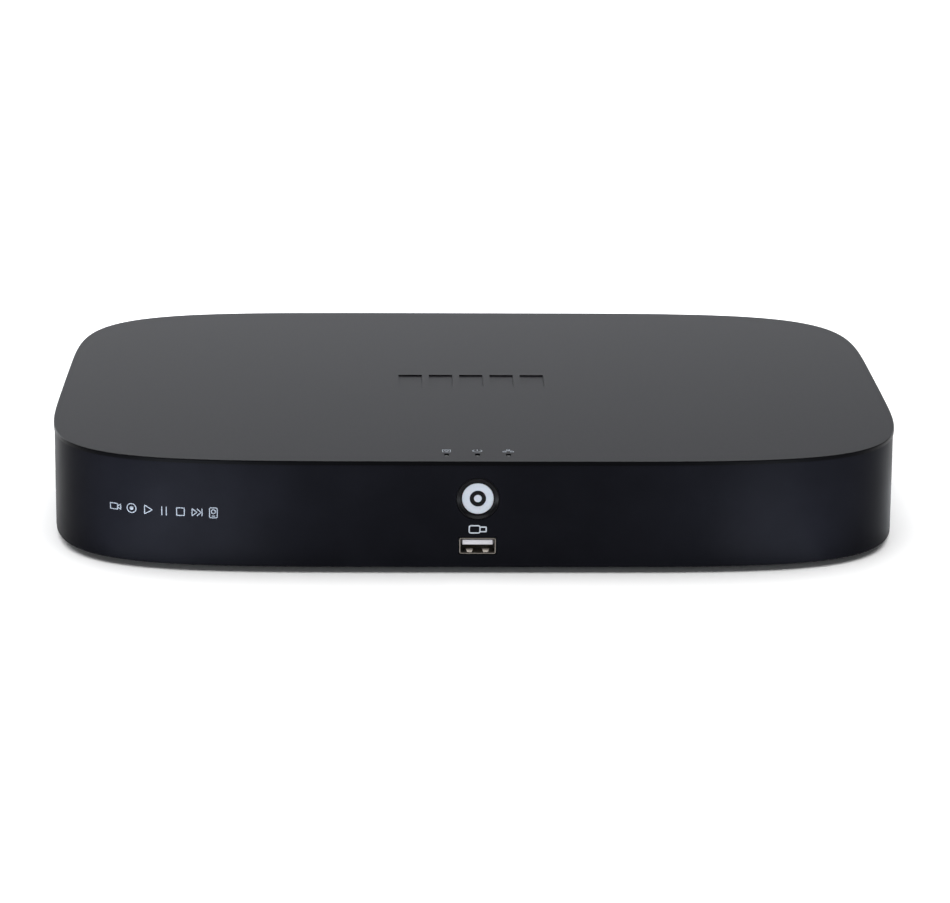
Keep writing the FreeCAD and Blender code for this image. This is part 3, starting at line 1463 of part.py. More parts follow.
def lead_ends():
    """The headers on the boards and the plugs that sit in them."""
    edge = "board_front_y"
    low_plug = (f"{BOARD_TOP} + 0.1", f"{BOARD_TOP} + 6")
    high_plug = (f"{BOARD_TOP} + 4.6", f"{BOARD_TOP} + 12")
    headers, plugs = [], []
    for middle, half in DRIVE_PLUGS:
        y = around(f"{DRIVE_MID_Y} + {middle}", half)
        grip_x = (f"drive_x - {DRIVE_PLUG_LENGTH}", "drive_x - 0.1")
        nose_x = ("drive_x - 1", "drive_x + 4.5")
        grip = block(grip_x, y, (f"{DRIVE_UNDER} + 0.6", f"{DRIVE_UNDER} + 6.8"))
        nose = block(nose_x, y, (f"{DRIVE_UNDER} + 2.65", f"{DRIVE_UNDER} + 4.75"))
        plugs.append(fuse(grip, nose))
    header_y = (f"{edge} + 1.5", f"{edge} + 9")
    for x in (DATA_LEAD_X, POWER_LEAD_X):
        headers.append(block(around(x, 6), header_y, (BOARD_TOP, f"{BOARD_TOP} + 6")))
        plugs.append(block(around(x, 6), (f"{edge} - 12", f"{edge} + 1.4"), low_plug))
    headers.append(block(around(FRONT_LEAD_END, 5), header_y, (BOARD_TOP, high_plug[1])))
    plugs.append(block(around(FRONT_LEAD_END, 5), (f"{edge} - 10", f"{edge} + 1.4"), high_plug))
    front_header_y = (FRONT_BOARD_BACK, f"{FRONT_BOARD_BACK} + 6")
    front_plug_y = (f"{FRONT_BOARD_BACK} + 6.1", f"{FRONT_BOARD_BACK} + 13")
    headers.append(block(around(FRONT_LEAD_X, 5), front_header_y, high_plug))
    plugs.append(block(around(FRONT_LEAD_X, 4.6), front_plug_y, high_plug))
    headers.append(block(around(FAN_LEAD_X, 5), (35, 41), (BOARD_TOP, f"{BOARD_TOP} + 3")))
    plugs.append(block(around(FAN_LEAD_X, 4.6), (35.3, 40.7), (f"{BOARD_TOP} + 3.1", f"{BOARD_TOP} + 8")))
    sub_part("board_headers", *headers)
    sub_part("lead_plugs", *plugs)


def leads():
    """The drive's data and power leads, the front board's lead and the fan's lead."""
    drive_end = size("drive_x") - DRIVE_PLUG_LENGTH
    board_end = size("board_front_y") - 12
    data_y, power_y = [value_of(DRIVE_MID_Y) + middle for middle, half in DRIVE_PLUGS]
    flat = (f"{DRIVE_UNDER} + 0.9", f"{DRIVE_UNDER} + 6.5")
    data_path = [(drive_end, data_y), (DATA_LEAD_X, data_y), (DATA_LEAD_X, board_end)]
    power_path = [(drive_end, power_y), (POWER_LEAD_X, power_y), (POWER_LEAD_X, board_end)]
    flat_lead("data_lead", data_path, 40, 1.1, flat)
    flat_lead("power_lead", power_path, 20, 1.8, flat)
    front_start = value_of(f"{FRONT_BOARD_BACK} + 13")
    front_path = [
        (FRONT_LEAD_X, front_start),
        (FRONT_LEAD_X, -64),
        (FRONT_LEAD_END, -24),
        (FRONT_LEAD_END, board_end + 2),
    ]
    flat_lead("front_lead", front_path, 120, 1.4, (f"{BOARD_TOP} + 5.4", f"{BOARD_TOP} + 11.2"))
    plug_top = value_of(f"{BOARD_TOP} + 8")
    fan_side = value_of("fan_y - fan_size/2")
    lead_z = plug_top + 8.5
    fan_path = [(FAN_LEAD_X, 38, plug_top), (FAN_LEAD_X, 38, lead_z), (FAN_LEAD_X, fan_side, lead_z)]
    round_lead("fan_lead", fan_path, 7.5, 1.1)


top_cover()
side_frame()
base_plate()
rubber_feet()
base_screws()
rear_panel()

power_button()
button_light_guide()
button_inner_ring()
front_board()
board_screws()
tact_switch()
status_lights()
contacts = front_port()

main_board()
chips()
capacitors()
heat_sink()
fan_frame()
fan_rotor()
fan_screws()

dc_socket()
control_terminal()
contacts += rear_usb()
contacts += network_socket()
sub_part("port_contacts", *contacts)
hdmi_socket()
vga_socket()
audio_sockets()
bnc_sockets()

drive_casting()
drive_cover()
drive_platters()
drive_arm()
drive_magnets()
drive_board()

lead_ends()
leads()

doc.recompute()


# ---------------------------------------------------------------- checks and export

def check_document():
    """Stops if an object is in error or a sub-part's shape is not valid solids."""
    for thing in doc.Objects:
        if "Invalid" in thing.State or "Error" in thing.State:
            raise RuntimeError(f"{thing.Label} is {thing.State}")
    for thing in sub_parts:
        shape = thing.Shape
        if shape.isNull() or not shape.isValid() or not shape.Solids or shape.Volume <= 0:
            raise RuntimeError(f"{thing.Label} has no valid solid")


check_document()
os.makedirs("parts", exist_ok=True)
for thing in sub_parts:
    thing.Shape.exportStep(os.path.join("parts", thing.Label + ".step"))
    print(f"{thing.Label}: {len(thing.Shape.Solids)} solids, {thing.Shape.Volume:.0f} mm3")
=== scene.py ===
"""A flat eight-channel video recorder on a pale floor in soft studio light.

Metres. +Z is up, the front with its button faces -Y, and the sockets face +Y.
"""

import json
import math

import bmesh
import bpy
from mathutils import Matrix, Vector
from mathutils.bvhtree import BVHTree


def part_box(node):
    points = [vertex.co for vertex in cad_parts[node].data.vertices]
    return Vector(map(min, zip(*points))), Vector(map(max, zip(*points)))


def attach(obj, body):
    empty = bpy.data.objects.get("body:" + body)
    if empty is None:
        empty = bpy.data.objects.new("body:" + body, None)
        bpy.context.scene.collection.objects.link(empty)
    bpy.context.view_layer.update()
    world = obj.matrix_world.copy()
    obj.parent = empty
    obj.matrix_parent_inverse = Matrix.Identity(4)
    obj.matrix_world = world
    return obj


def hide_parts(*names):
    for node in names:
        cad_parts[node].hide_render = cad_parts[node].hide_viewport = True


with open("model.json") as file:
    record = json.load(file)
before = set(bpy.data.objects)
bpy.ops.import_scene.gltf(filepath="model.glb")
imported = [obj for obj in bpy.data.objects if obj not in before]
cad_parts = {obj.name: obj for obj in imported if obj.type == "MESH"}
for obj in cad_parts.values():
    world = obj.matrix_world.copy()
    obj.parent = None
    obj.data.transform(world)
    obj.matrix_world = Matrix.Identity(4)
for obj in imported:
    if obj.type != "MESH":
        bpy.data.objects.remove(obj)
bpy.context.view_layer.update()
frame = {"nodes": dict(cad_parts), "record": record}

MM = 0.001
NODES = frame["nodes"]


# ---------------------------------------------------------------- places, from the frame

def middle(node):
    low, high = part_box(node)
    return (Vector(low) + Vector(high)) / 2


def extent(node):
    low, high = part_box(node)
    return Vector(high) - Vector(low)


BUTTON = middle("power_button")
BUTTON_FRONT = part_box("power_button")[0][1]
BUTTON_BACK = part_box("power_button")[1][1]
BUTTON_FLANGE_RADIUS = extent("power_button").x / 2
BUTTON_FLANGE_REACH = 1.3 * MM
BUTTON_RADIUS = BUTTON_FLANGE_RADIUS - BUTTON_FLANGE_REACH
GUIDE_RADIUS = extent("button_light_guide").x / 2
RING_RADIUS = extent("button_inner_ring").x / 2
PORT = middle("front_port_shell")
PORT_SIZE = extent("front_port_shell")
LAMP_PITCH = (extent("light_pipes").x - 4 * MM) / 2
LAMP_Y = middle("light_pipes").y
PANEL_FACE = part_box("rear_panel")[1][1]
BNC_COUNT = 8
BNC_PIN_RADIUS = 0.78 * MM
BNC_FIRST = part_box("bnc_contacts")[0][0] + BNC_PIN_RADIUS
BNC_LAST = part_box("bnc_contacts")[1][0] - BNC_PIN_RADIUS
BNC_Z = middle("bnc_contacts").z


def surface_of(node):
    """A tree of the node's faces, for finding where a line meets it."""
    mesh = NODES[node].data
    return BVHTree.FromPolygons([v.co for v in mesh.vertices], [p.vertices for p in mesh.polygons])


# ---------------------------------------------------------------- meshes

def new_piece(name, mesh, body, material, smooth_below=32):
    """A finished mesh becomes a piece that rides on a body. Edges sharper than the angle stay crisp."""
    bmesh.ops.remove_doubles(mesh, verts=mesh.verts, dist=0.001 * MM)
    bmesh.ops.recalc_face_normals(mesh, faces=mesh.faces)
    data = bpy.data.meshes.new(name)
    mesh.to_mesh(data)
    mesh.free()
    data.materials.append(material)
    data.shade_smooth()
    data.set_sharp_from_angle(angle=math.radians(smooth_below))
    piece = bpy.data.objects.new(name, data)
    bpy.context.scene.collection.objects.link(piece)
    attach(piece, body)
    return piece


def bevelled(piece, width, segments=2, angle=35):
    """Rounds the sharp edges a little, so that they catch the light."""
    bevel = piece.modifiers.new("Edges", "BEVEL")
    bevel.width = width
    bevel.segments = segments
    bevel.limit_method = "ANGLE"
    bevel.angle_limit = math.radians(angle)
    bevel.harden_normals = True


def ease_node(node, width):
    """Rounds the edges of a CAD node with modifiers: its faces are joined up first."""
    piece = NODES[node]
    weld = piece.modifiers.new("Join", "WELD")
    weld.merge_threshold = 0.002 * MM
    flat = piece.modifiers.new("Flat faces", "DECIMATE")
    flat.decimate_type = "DISSOLVE"
    flat.angle_limit = math.radians(0.5)
    bevelled(piece, width)


def revolve(mesh, profile, centre, axis="Y", steps=96):
    """Turns a profile of (radius, place along the axis) about an axis through the centre."""
    rings = []
    for radius, along in profile:
        ring = []
        for i in range(steps if radius > 0 else 1):
            turn = 2 * math.pi * i / steps
            first, second = radius * math.cos(turn), radius * math.sin(turn)
            if axis == "Y":
                place = (centre[0] + first, along, centre[2] + second)
            else:
                place = (along, centre[1] + first, centre[2] + second)
            ring.append(mesh.verts.new(place))
        rings.append(ring)
    for first, second in zip(rings, rings[1:]):
        for i in range(steps):
            j = (i + 1) % steps
            if len(first) == 1:
                corners = (first[0], second[j], second[i])
            elif len(second) == 1:
                corners = (first[i], first[j], second[0])
            else:
                corners = (first[i], first[j], second[j], second[i])
            mesh.faces.new(corners)


def arc(radius_middle, along_middle, size, start, end, steps=6):
    """Profile points on an arc. Angles are in degrees, 0 away from the axis and 90 along it."""
    points = []
    for i in range(steps + 1):
        turn = math.radians(start + (end - start) * i / steps)
        points.append((radius_middle + size * math.cos(turn), along_middle + size * math.sin(turn)))
    return points


def ring_points(x, y, radius, start=0.0, sweep=360.0, steps=40):
    """Points round a circle, or along part of one."""
    last = steps if abs(sweep) == 360 else steps + 1
    points = []
    for i in range(last):
        turn = math.radians(start + sweep * i / steps)
        points.append((x + radius * math.cos(turn), y + radius * math.sin(turn)))
    return points


def rounded_outline(corners, radius, steps=6):
    """A closed outline through the corners, anticlockwise, with each corner rounded."""
    points = []
    count = len(corners)
    for i, corner in enumerate(corners):
        corner = Vector(corner)
        before = (Vector(corners[i - 1]) - corner).normalized()
        after = (Vector(corners[(i + 1) % count]) - corner).normalized()
        half = before.angle(after) / 2
        centre = corner + (before + after).normalized() * radius / math.sin(half)
        first = corner + before * radius / math.tan(half) - centre
        last = corner + after * radius / math.tan(half) - centre
        sweep = first.angle_signed(last)
        for k in range(steps + 1):
            points.append(tuple(centre + Matrix.Rotation(-sweep * k / steps, 2) @ first))
    return points


def box_corners(x, y, half_x, half_y):
    left, right, low, high = x - half_x, x + half_x, y - half_y, y + half_y
    return [(right, low), (right, high), (left, high), (left, low)]


def sleeve(mesh, outlines):
    """Skins closed outlines in turn: each is (points as (x, z), y). The last joins the first."""
    loops = [[mesh.verts.new((x, y, z)) for x, z in points] for points, y in outlines]
    count = len(loops[0])
    for first, second in zip(loops, loops[1:] + loops[:1]):
        for i in range(count):
            j = (i + 1) % count
            mesh.faces.new((first[i], first[j], second[j], second[i]))


def formed_shell(mesh, outline, mouth, back, wall, corner):
    """A folded sheet-metal shell with a rounded lip. outline(inset) gives its corners."""
    inward = 1 if back > mouth else -1
    smallest_corner = 0.1 * MM

    def layer(inset, y):
        rounding = max(corner - inset * wall, smallest_corner)
        return rounded_outline(outline(inset * wall), rounding), y

    def lip(*steps):
        return [layer(inset, mouth + inward * depth * wall) for inset, depth in steps]

    outside = lip((0.35, 0), (0.1, 0.12), (0, 0.4))
    inside = lip((1, 0.4), (0.9, 0.12), (0.65, 0))
    sleeve(mesh, outside + [layer(0, back), layer(1, back)] + inside)


def strip(mesh, x, path, thick):
    """A leaf of sheet metal about x: path is its (y, z, half width) line."""
    rows = []
    for y, z, half in path:
        corners = ((x - half, z), (x + half, z), (x + half, z + thick), (x - half, z + thick))
        rows.append([mesh.verts.new((cx, y, cz)) for cx, cz in corners])
    for first, second in zip(rows, rows[1:]):
        for i in range(4):
            j = (i + 1) % 4
            mesh.faces.new((first[i], first[j], second[j], second[i]))
    mesh.faces.new(rows[0][::-1])
    mesh.faces.new(rows[-1])


# ---------------------------------------------------------------- pictograms and digits

def spaced(points, closed, step=0.4 * MM):
    """The same line with its points no further apart than a step."""
    result = []
    ends = points[1:] + (points[:1] if closed else [])
    for start, end in zip(points, ends):
        parts = max(1, math.ceil(math.dist(start, end) / step))
        for i in range(parts):
            share = i / parts
            x = start[0] + (end[0] - start[0]) * share
            y = start[1] + (end[1] - start[1]) * share
            result.append((x, y))
    return result if closed else result + [points[-1]]


class Print:
    """Thin printed marks. Each is drawn in its own units about a middle, and lay puts it on a surface."""

    def __init__(self, lay, width):
        self.mesh = bmesh.new()
        self.lay = lay
        self.width = width
        self.at(0, 0, 1)

    def at(self, x, y, scale):
        self.middle = (x, y)
        self.scale = scale
        return self

    def placed(self, points):
        return [(self.middle[0] + x * self.scale, self.middle[1] + y * self.scale) for x, y in points]

    def stroke(self, points, closed=False):
        line = spaced(self.placed(points), closed)
        count = len(line)
        sides = []
        for i, (x, y) in enumerate(line):
            before = line[i - 1] if closed or i else line[0]
            after = line[(i + 1) % count] if closed or i < count - 1 else line[-1]
            along = (Vector(after) - Vector(before)).normalized()
            across = Vector((-along.y, along.x)) * self.width / 2
            left = self.mesh.verts.new(self.lay(x + across.x, y + across.y))
            right = self.mesh.verts.new(self.lay(x - across.x, y - across.y))
            sides.append((left, right))
        for first, second in zip(sides, sides[1:] + (sides[:1] if closed else [])):
            self.mesh.faces.new((first[0], second[0], second[1], first[1]))

    def fill(self, points):
        """A filled shape, as a fan about its middle."""
        line = spaced(self.placed(points), True)
        middle_x = sum(x for x, y in line) / len(line)
        middle_y = sum(y for x, y in line) / len(line)
        hub = self.mesh.verts.new(self.lay(middle_x, middle_y))
        rim = [self.mesh.verts.new(self.lay(x, y)) for x, y in line]
        for first, second in zip(rim, rim[1:] + rim[:1]):
            self.mesh.faces.new((hub, first, second))

    def finish(self, name, material):
        """The marks become a piece of the case, as thick as a print."""
        piece = new_piece(name, self.mesh, "case", material)
        solid = piece.modifiers.new("Ink", "SOLIDIFY")
        solid.thickness = 0.05 * MM
        solid.offset = 0


def rectangle(half_x, half_y, x=0.0, y=0.0):
    return box_corners(x, y, half_x, half_y)


def draw_camera(ink):
    ink.stroke(rectangle(0.68, 0.55, -0.3), True)
    ink.stroke([(0.42, 0.1), (1.0, 0.5), (1.0, -0.5), (0.42, -0.1)])


def draw_record(ink):
    ink.stroke(ring_points(0, 0, 0.85), True)
    ink.fill(ring_points(0, 0, 0.36))


def draw_play(ink):
    ink.stroke([(-0.6, 0.85), (0.85, 0), (-0.6, -0.85)], True)


def draw_pause(ink):
    for x in (-0.42, 0.42):
        ink.stroke([(x, 0.85), (x, -0.85)])


def draw_stop(ink):
    ink.stroke(rectangle(0.72, 0.72), True)


def draw_skip(ink):
    ink.stroke([(-0.9, 0.7), (0.0, 0), (-0.9, -0.7)], True)
    ink.stroke([(0.0, 0.7), (0.75, 0), (0.0, -0.7)])
    ink.stroke([(0.95, 0.75), (0.95, -0.75)])


def draw_disk(ink):
    ink.stroke(rounded_outline(rectangle(0.72, 0.95), 0.25, 4), True)
    ink.stroke(ring_points(0, 0.22, 0.38, steps=24), True)
    ink.stroke([(-0.3, -0.62), (0.3, -0.62)])


def draw_power(ink):
    ink.stroke(ring_points(0, 0, 0.85, 125, 290))
    ink.stroke([(0, 0.95), (0, 0.1)])


def draw_network(ink):
    for x, y in ((0, 0.65), (-0.7, -0.6), (0.7, -0.6)):
        ink.stroke(rectangle(0.28, 0.28, x, y), True)
    ink.stroke([(0, 0.37), (0, 0)])
    ink.stroke([(-0.7, -0.32), (-0.7, 0), (0.7, 0), (0.7, -0.32)])


def draw_stick(ink):
    """A memory stick lying on its side: its body and its plug."""
    ink.stroke(rounded_outline(rectangle(0.95, 0.66, -0.55), 0.3, 4), True)
    ink.stroke([(0.4, 0.42), (1.5, 0.42), (1.5, -0.42), (0.4, -0.42)])


def draw_monitor(ink):
    ink.stroke(rectangle(0.95, 0.6, 0, 0.25), True)
    ink.stroke([(0, -0.35), (0, -0.8)])
    ink.stroke([(-0.5, -0.8), (0.5, -0.8)])


def draw_direct_current(ink):
    ink.stroke([(-0.9, 0.25), (0.9, 0.25)])
    for x in (-0.65, 0, 0.65):
        ink.stroke([(x - 0.22, -0.25), (x + 0.22, -0.25)])


def draw_speaker(ink):
    ink.stroke([(-0.9, 0.3), (-0.5, 0.3), (0, 0.8), (0, -0.8), (-0.5, -0.3), (-0.9, -0.3)], True)
    ink.stroke(ring_points(0, 0, 0.45, -50, 100, 12))
    ink.stroke(ring_points(0, 0, 0.85, -50, 100, 16))


def draw_microphone(ink):
    ink.stroke(rounded_outline(rectangle(0.3, 0.55, 0, 0.4), 0.28, 5), True)
    ink.stroke(ring_points(0, 0.3, 0.62, 180, 180, 16))
    ink.stroke([(0, -0.32), (0, -0.9)])


DIGITS = {
    1: [(-0.35, 0.65), (0.1, 1), (0.1, -1)],
    2: [(-0.55, 0.6), (-0.35, 0.92), (0, 1), (0.4, 0.9), (0.55, 0.5), (0.35, 0.05), (-0.6, -1), (0.6, -1)],
    3: [
        (-0.5, 0.8), (0, 1), (0.5, 0.75), (0.45, 0.25), (0, 0.05),
        (0.5, -0.2), (0.55, -0.7), (0, -1), (-0.55, -0.75),
    ],
    4: [(0.3, -1), (0.3, 1), (-0.6, -0.4), (0.65, -0.4)],
    5: [(0.5, 1), (-0.4, 1), (-0.5, 0.1), (0.05, 0.25), (0.5, 0), (0.55, -0.6), (0.1, -1), (-0.55, -0.8)],
    6: [
        (0.45, 0.9), (-0.1, 0.9), (-0.5, 0.3), (-0.55, -0.5), (-0.2, -1),
        (0.3, -0.95), (0.55, -0.5), (0.3, 0.02), (-0.2, 0.05), (-0.52, -0.3),
    ],
    7: [(-0.55, 1), (0.6, 1), (-0.1, -1)],
    8: [
        (0, 0.1), (-0.45, 0.35), (-0.45, 0.8), (0, 1), (0.45, 0.8), (0.45, 0.35), (0, 0.1),
        (-0.55, -0.2), (-0.5, -0.8), (0, -1), (0.5, -0.8), (0.55, -0.2), (0, 0.1),
    ],
}


# ---------------------------------------------------------------- materials

class Finish:
    """A procedural material: a Principled shader with helpers for grain, bump and colour."""

    def __init__(self, name, colour, roughness, metallic=0.0, ior=1.5):
        self.material = bpy.data.materials.new(name)
        self.material.use_nodes = True
        self.tree = self.material.node_tree
        self.shader = self.tree.nodes["Principled BSDF"]
        self.shader.inputs["Base Color"].default_value = (*colour, 1)
        self.shader.inputs["Roughness"].default_value = roughness
        self.shader.inputs["Metallic"].default_value = metallic
        self.shader.inputs["IOR"].default_value = ior
        self.colour = colour
        self.roughness = roughness
        self.heights = None

    def node(self, kind, **values):
        made = self.tree.nodes.new(kind)
        for name, value in values.items():
            if name in made.inputs:
                made.inputs[name].default_value = value
            else:
                setattr(made, name, value)
        return made

    def link(self, source, target):
        self.tree.links.new(source, target)

    def place(self, stretch=(1, 1, 1)):
        """The object's own coordinates, stretched."""
        coordinates = self.node("ShaderNodeTexCoord")
        mapping = self.node("ShaderNodeMapping", Scale=stretch)
        self.link(coordinates.outputs["Object"], mapping.inputs["Vector"])
        return mapping.outputs["Vector"]

    def noise(self, size, detail=2.0, stretch=(1, 1, 1)):
        texture = self.node("ShaderNodeTexNoise", Scale=1 / size, Detail=detail)
        self.link(self.place(stretch), texture.inputs["Vector"])
        return texture.outputs["Fac"]

    def spread(self, source, low, high, start=0.3, end=0.7):
        """Maps a noise's range to another range."""
        remap = self.node("ShaderNodeMapRange")
        for name, value in (("From Min", start), ("From Max", end), ("To Min", low), ("To Max", high)):
            remap.inputs[name].default_value = value
        self.link(source, remap.inputs["Value"])
        return remap.outputs["Result"]

    def vary_colour(self, size, amount, detail=3.0, stretch=(1, 1, 1)):
        """Lightens and darkens the colour by that share."""
        mix = self.node("ShaderNodeMix", data_type="RGBA")
        mix.inputs[6].default_value = (*[c * (1 - amount) for c in self.colour], 1)
        mix.inputs[7].default_value = (*[min(1, c * (1 + amount)) for c in self.colour], 1)
        self.link(self.spread(self.noise(size, detail, stretch), 0, 1), mix.inputs[0])
        self.link(mix.outputs[2], self.shader.inputs["Base Color"])
        return self

    def vary_roughness(self, size, amount, detail=3.0, stretch=(1, 1, 1)):
        grain = self.noise(size, detail, stretch)
        varied = self.spread(grain, self.roughness - amount, self.roughness + amount)
        self.link(varied, self.shader.inputs["Roughness"])
        return self

    def relief(self, size, height, detail=2.0, stretch=(1, 1, 1)):
        """Adds a grain of that size and height, in metres."""
        bump = self.node("ShaderNodeBump", Strength=1.0, Distance=height)
        self.link(self.noise(size, detail, stretch), bump.inputs["Height"])
        if self.heights is not None:
            self.link(self.heights, bump.inputs["Normal"])
        self.heights = bump.outputs["Normal"]
        self.link(self.heights, self.shader.inputs["Normal"])
        return self


def moulded(name, colour, roughness, grain=0.35 * MM, height=0.01 * MM, ior=1.45):
    """Moulded plastic: a fine spark-eroded grain and a faint unevenness of tone."""
    finish = Finish(name, colour, roughness, ior=ior)
    finish.vary_colour(9 * MM, 0.08).vary_roughness(6 * MM, 0.04).relief(grain, height)
    return finish.material


def brushed(name, colour, roughness, stretch, height=0.004 * MM):
    """Metal with fine lines: stretch is small along the lines."""
    finish = Finish(name, colour, roughness, metallic=1.0)
    finish.vary_colour(0.5 * MM, 0.1, stretch=stretch).vary_roughness(0.4 * MM, 0.08, stretch=stretch)
    finish.relief(0.2 * MM, height, stretch=stretch)
    return finish.material


def plated(name, colour, roughness):
    """Bright plating with slight ripples and handling haze."""
    finish = Finish(name, colour, roughness, metallic=1.0)
    finish.vary_colour(3 * MM, 0.06).vary_roughness(1.5 * MM, 0.07).relief(1.2 * MM, 0.004 * MM)
    return finish.material


def lid_plastic():
    """The lid: matte charcoal with a fine grain on its top, and satin black round its edge. The top's
    lighter colour is a painted sheen and the edge's darker colour is painted shade.
    """
    # painted light: the top's colour is lighter to stand for the sheen it shows at a low angle, and the
    # edge's colour is darker as painted shade
    top, top_roughness = (0.0072, 0.007, 0.0088), 0.58
    edge, edge_roughness = (0.0012, 0.0013, 0.0018), 0.36
    finish = Finish("lid_plastic", top, top_roughness, ior=1.1)
    surface = finish.node("ShaderNodeNewGeometry")
    upright = finish.node("ShaderNodeSeparateXYZ")
    finish.link(surface.outputs["Normal"], upright.inputs[0])
    # the mask picks the upward faces: it paints the sheen onto the top and sets the rougher finish there
    painted_sheen_top_mask = finish.spread(upright.outputs["Z"], 0, 1, 0.93, 0.99)
    finish.vary_colour(1.6 * MM, 0.1)
    grained = finish.shader.inputs["Base Color"].links[0].from_socket
    colour = finish.node("ShaderNodeMix", data_type="RGBA")
    colour.inputs[6].default_value = (*edge, 1)
    finish.link(painted_sheen_top_mask, colour.inputs[0])
    finish.link(grained, colour.inputs[7])
    finish.link(colour.outputs[2], finish.shader.inputs["Base Color"])
    roughness = finish.spread(painted_sheen_top_mask, edge_roughness, top_roughness, 0, 1)
    finish.link(roughness, finish.shader.inputs["Roughness"])
    finish.relief(0.45 * MM, 0.02 * MM, detail=3)
    return finish.material


def band_plastic():
    """The band's smooth satin black."""
    finish = Finish("band_plastic", (0.0052, 0.0054, 0.0074), 0.36, ior=1.06)
    finish.vary_colour(20 * MM, 0.12).vary_roughness(12 * MM, 0.02)
    finish.relief(0.5 * MM, 0.0012 * MM)
    return finish.material


def powder_coat():
    finish = Finish("black_steel", (0.02, 0.02, 0.022), 0.5)
    finish.vary_colour(10 * MM, 0.1).vary_roughness(5 * MM, 0.06)
    finish.relief(0.7 * MM, 0.03 * MM, detail=1).relief(0.25 * MM, 0.01 * MM)
    return finish.material


def rubber():
    finish = Finish("foot_rubber", (0.022, 0.022, 0.022), 0.85)
    finish.vary_colour(3 * MM, 0.3).relief(0.8 * MM, 0.06 * MM, detail=4)
    return finish.material


def circuit_board():
    """Green solder mask over raised copper tracks."""
    mask, dark_mask, over_track = (0.012, 0.09, 0.035), (0.010, 0.075, 0.030), (0.03, 0.17, 0.06)
    finish = Finish("board_green", mask, 0.32)
    tracks = finish.node("ShaderNodeTexBrick", offset=0.37, offset_frequency=3)
    for name, value in (("Scale", 90.0), ("Mortar Size", 0.06), ("Brick Width", 0.9), ("Row Height", 0.21)):
        tracks.inputs[name].default_value = value
    for name, colour in (("Color1", mask), ("Color2", dark_mask), ("Mortar", over_track)):
        tracks.inputs[name].default_value = (*colour, 1)
    finish.link(finish.place(), tracks.inputs["Vector"])
    finish.link(tracks.outputs["Color"], finish.shader.inputs["Base Color"])
    finish.relief(0.6 * MM, 0.01 * MM)
    return finish.material


def light_guide():
    """The button's milky white plastic."""
    finish = Finish("button_white", (0.45, 0.49, 0.55), 0.3)
    finish.vary_colour(2 * MM, 0.02).vary_roughness(1 * MM, 0.04).relief(0.5 * MM, 0.002 * MM)
    finish.shader.inputs["Subsurface Weight"].default_value = 0.2
    finish.shader.inputs["Subsurface Scale"].default_value = 0.001
    return finish.material


def clear_plastic():
    finish = Finish("clear_guide", (0.85, 0.88, 0.9), 0.15)
    finish.vary_colour(1 * MM, 0.03).relief(0.6 * MM, 0.003 * MM)
    finish.shader.inputs["Transmission Weight"].default_value = 0.7
    return finish.material


def ink(name, colour):
    """Screen print, slightly uneven."""
    finish = Finish(name, colour, 0.6, ior=1.3)
    finish.vary_colour(0.6 * MM, 0.1).relief(0.2 * MM, 0.004 * MM)
    return finish.material


def cast_metal():
    finish = Finish("cast_aluminium", (0.32, 0.32, 0.33), 0.5, metallic=1.0)
    finish.vary_colour(2 * MM, 0.15).vary_roughness(1.5 * MM, 0.1).relief(0.8 * MM, 0.05 * MM, detail=4)
    return finish.material


ALONG_X = (0.04, 1, 1)
ALONG_Y = (1, 0.04, 1)
MATERIALS = {
    "lid_plastic": lid_plastic(),
    "band_plastic": band_plastic(),
    "black_steel": powder_coat(),
    "foot_rubber": rubber(),
    "screw_steel": plated("screw_steel", (0.36, 0.36, 0.38), 0.32),
    "button_black": moulded("button_black", (0.002, 0.002, 0.0028), 0.3, height=0.001 * MM, ior=1.22),
    "button_white": light_guide(),
    "clear_guide": clear_plastic(),
    "board_green": circuit_board(),
    "chip_black": moulded("chip_black", (0.015, 0.015, 0.016), 0.55),
    "lamp_white": moulded("lamp_white", (0.75, 0.74, 0.6), 0.3, height=0.002 * MM),
    "can_aluminium": brushed("can_aluminium", (0.62, 0.62, 0.63), 0.3, (1, 1, 0.05)),
    "sink_aluminium": brushed("sink_aluminium", (0.2, 0.2, 0.21), 0.42, ALONG_Y),
    "fan_black": moulded("fan_black", (0.012, 0.012, 0.013), 0.45),
    "tin_shell": brushed("tin_shell", (0.26, 0.235, 0.21), 0.4, ALONG_Y),
    "nickel": plated("nickel", (0.62, 0.6, 0.57), 0.2),
    "gilt": plated("gilt", (0.8, 0.55, 0.2), 0.22),
    "white_plastic": moulded("white_plastic", (0.55, 0.54, 0.57), 0.4, height=0.003 * MM),
    "black_plastic": moulded("black_plastic", (0.014, 0.014, 0.015), 0.42),
    "green_plastic": moulded("green_plastic", (0.015, 0.2, 0.06), 0.4),
    "blue_plastic": moulded("blue_plastic", (0.015, 0.05, 0.28), 0.4),
    "red_plastic": moulded("red_plastic", (0.35, 0.01, 0.01), 0.35),
    "cast_aluminium": cast_metal(),
    "drive_steel": brushed("drive_steel", (0.5, 0.5, 0.51), 0.33, ALONG_X),
    "platter_mirror": plated("platter_mirror", (0.68, 0.68, 0.7), 0.08),
    "lead_red": moulded("lead_red", (0.3, 0.012, 0.012), 0.5),
    "lead_grey": moulded("lead_grey", (0.03, 0.03, 0.03), 0.55),
}
WHITE_INK = ink("printed_white", (0.5, 0.54, 0.6))
PALE_INK = ink("printed_pale", (0.18, 0.2, 0.23))


def finish_cad_nodes():
    """Every CAD node takes the finish that the record names for it."""
    for part in frame["record"]["subparts"]:
        node = NODES[part["node"]]
        node.data.materials.clear()
        node.data.materials.append(MATERIALS[part["material_slot"]])


# ---------------------------------------------------------------- button

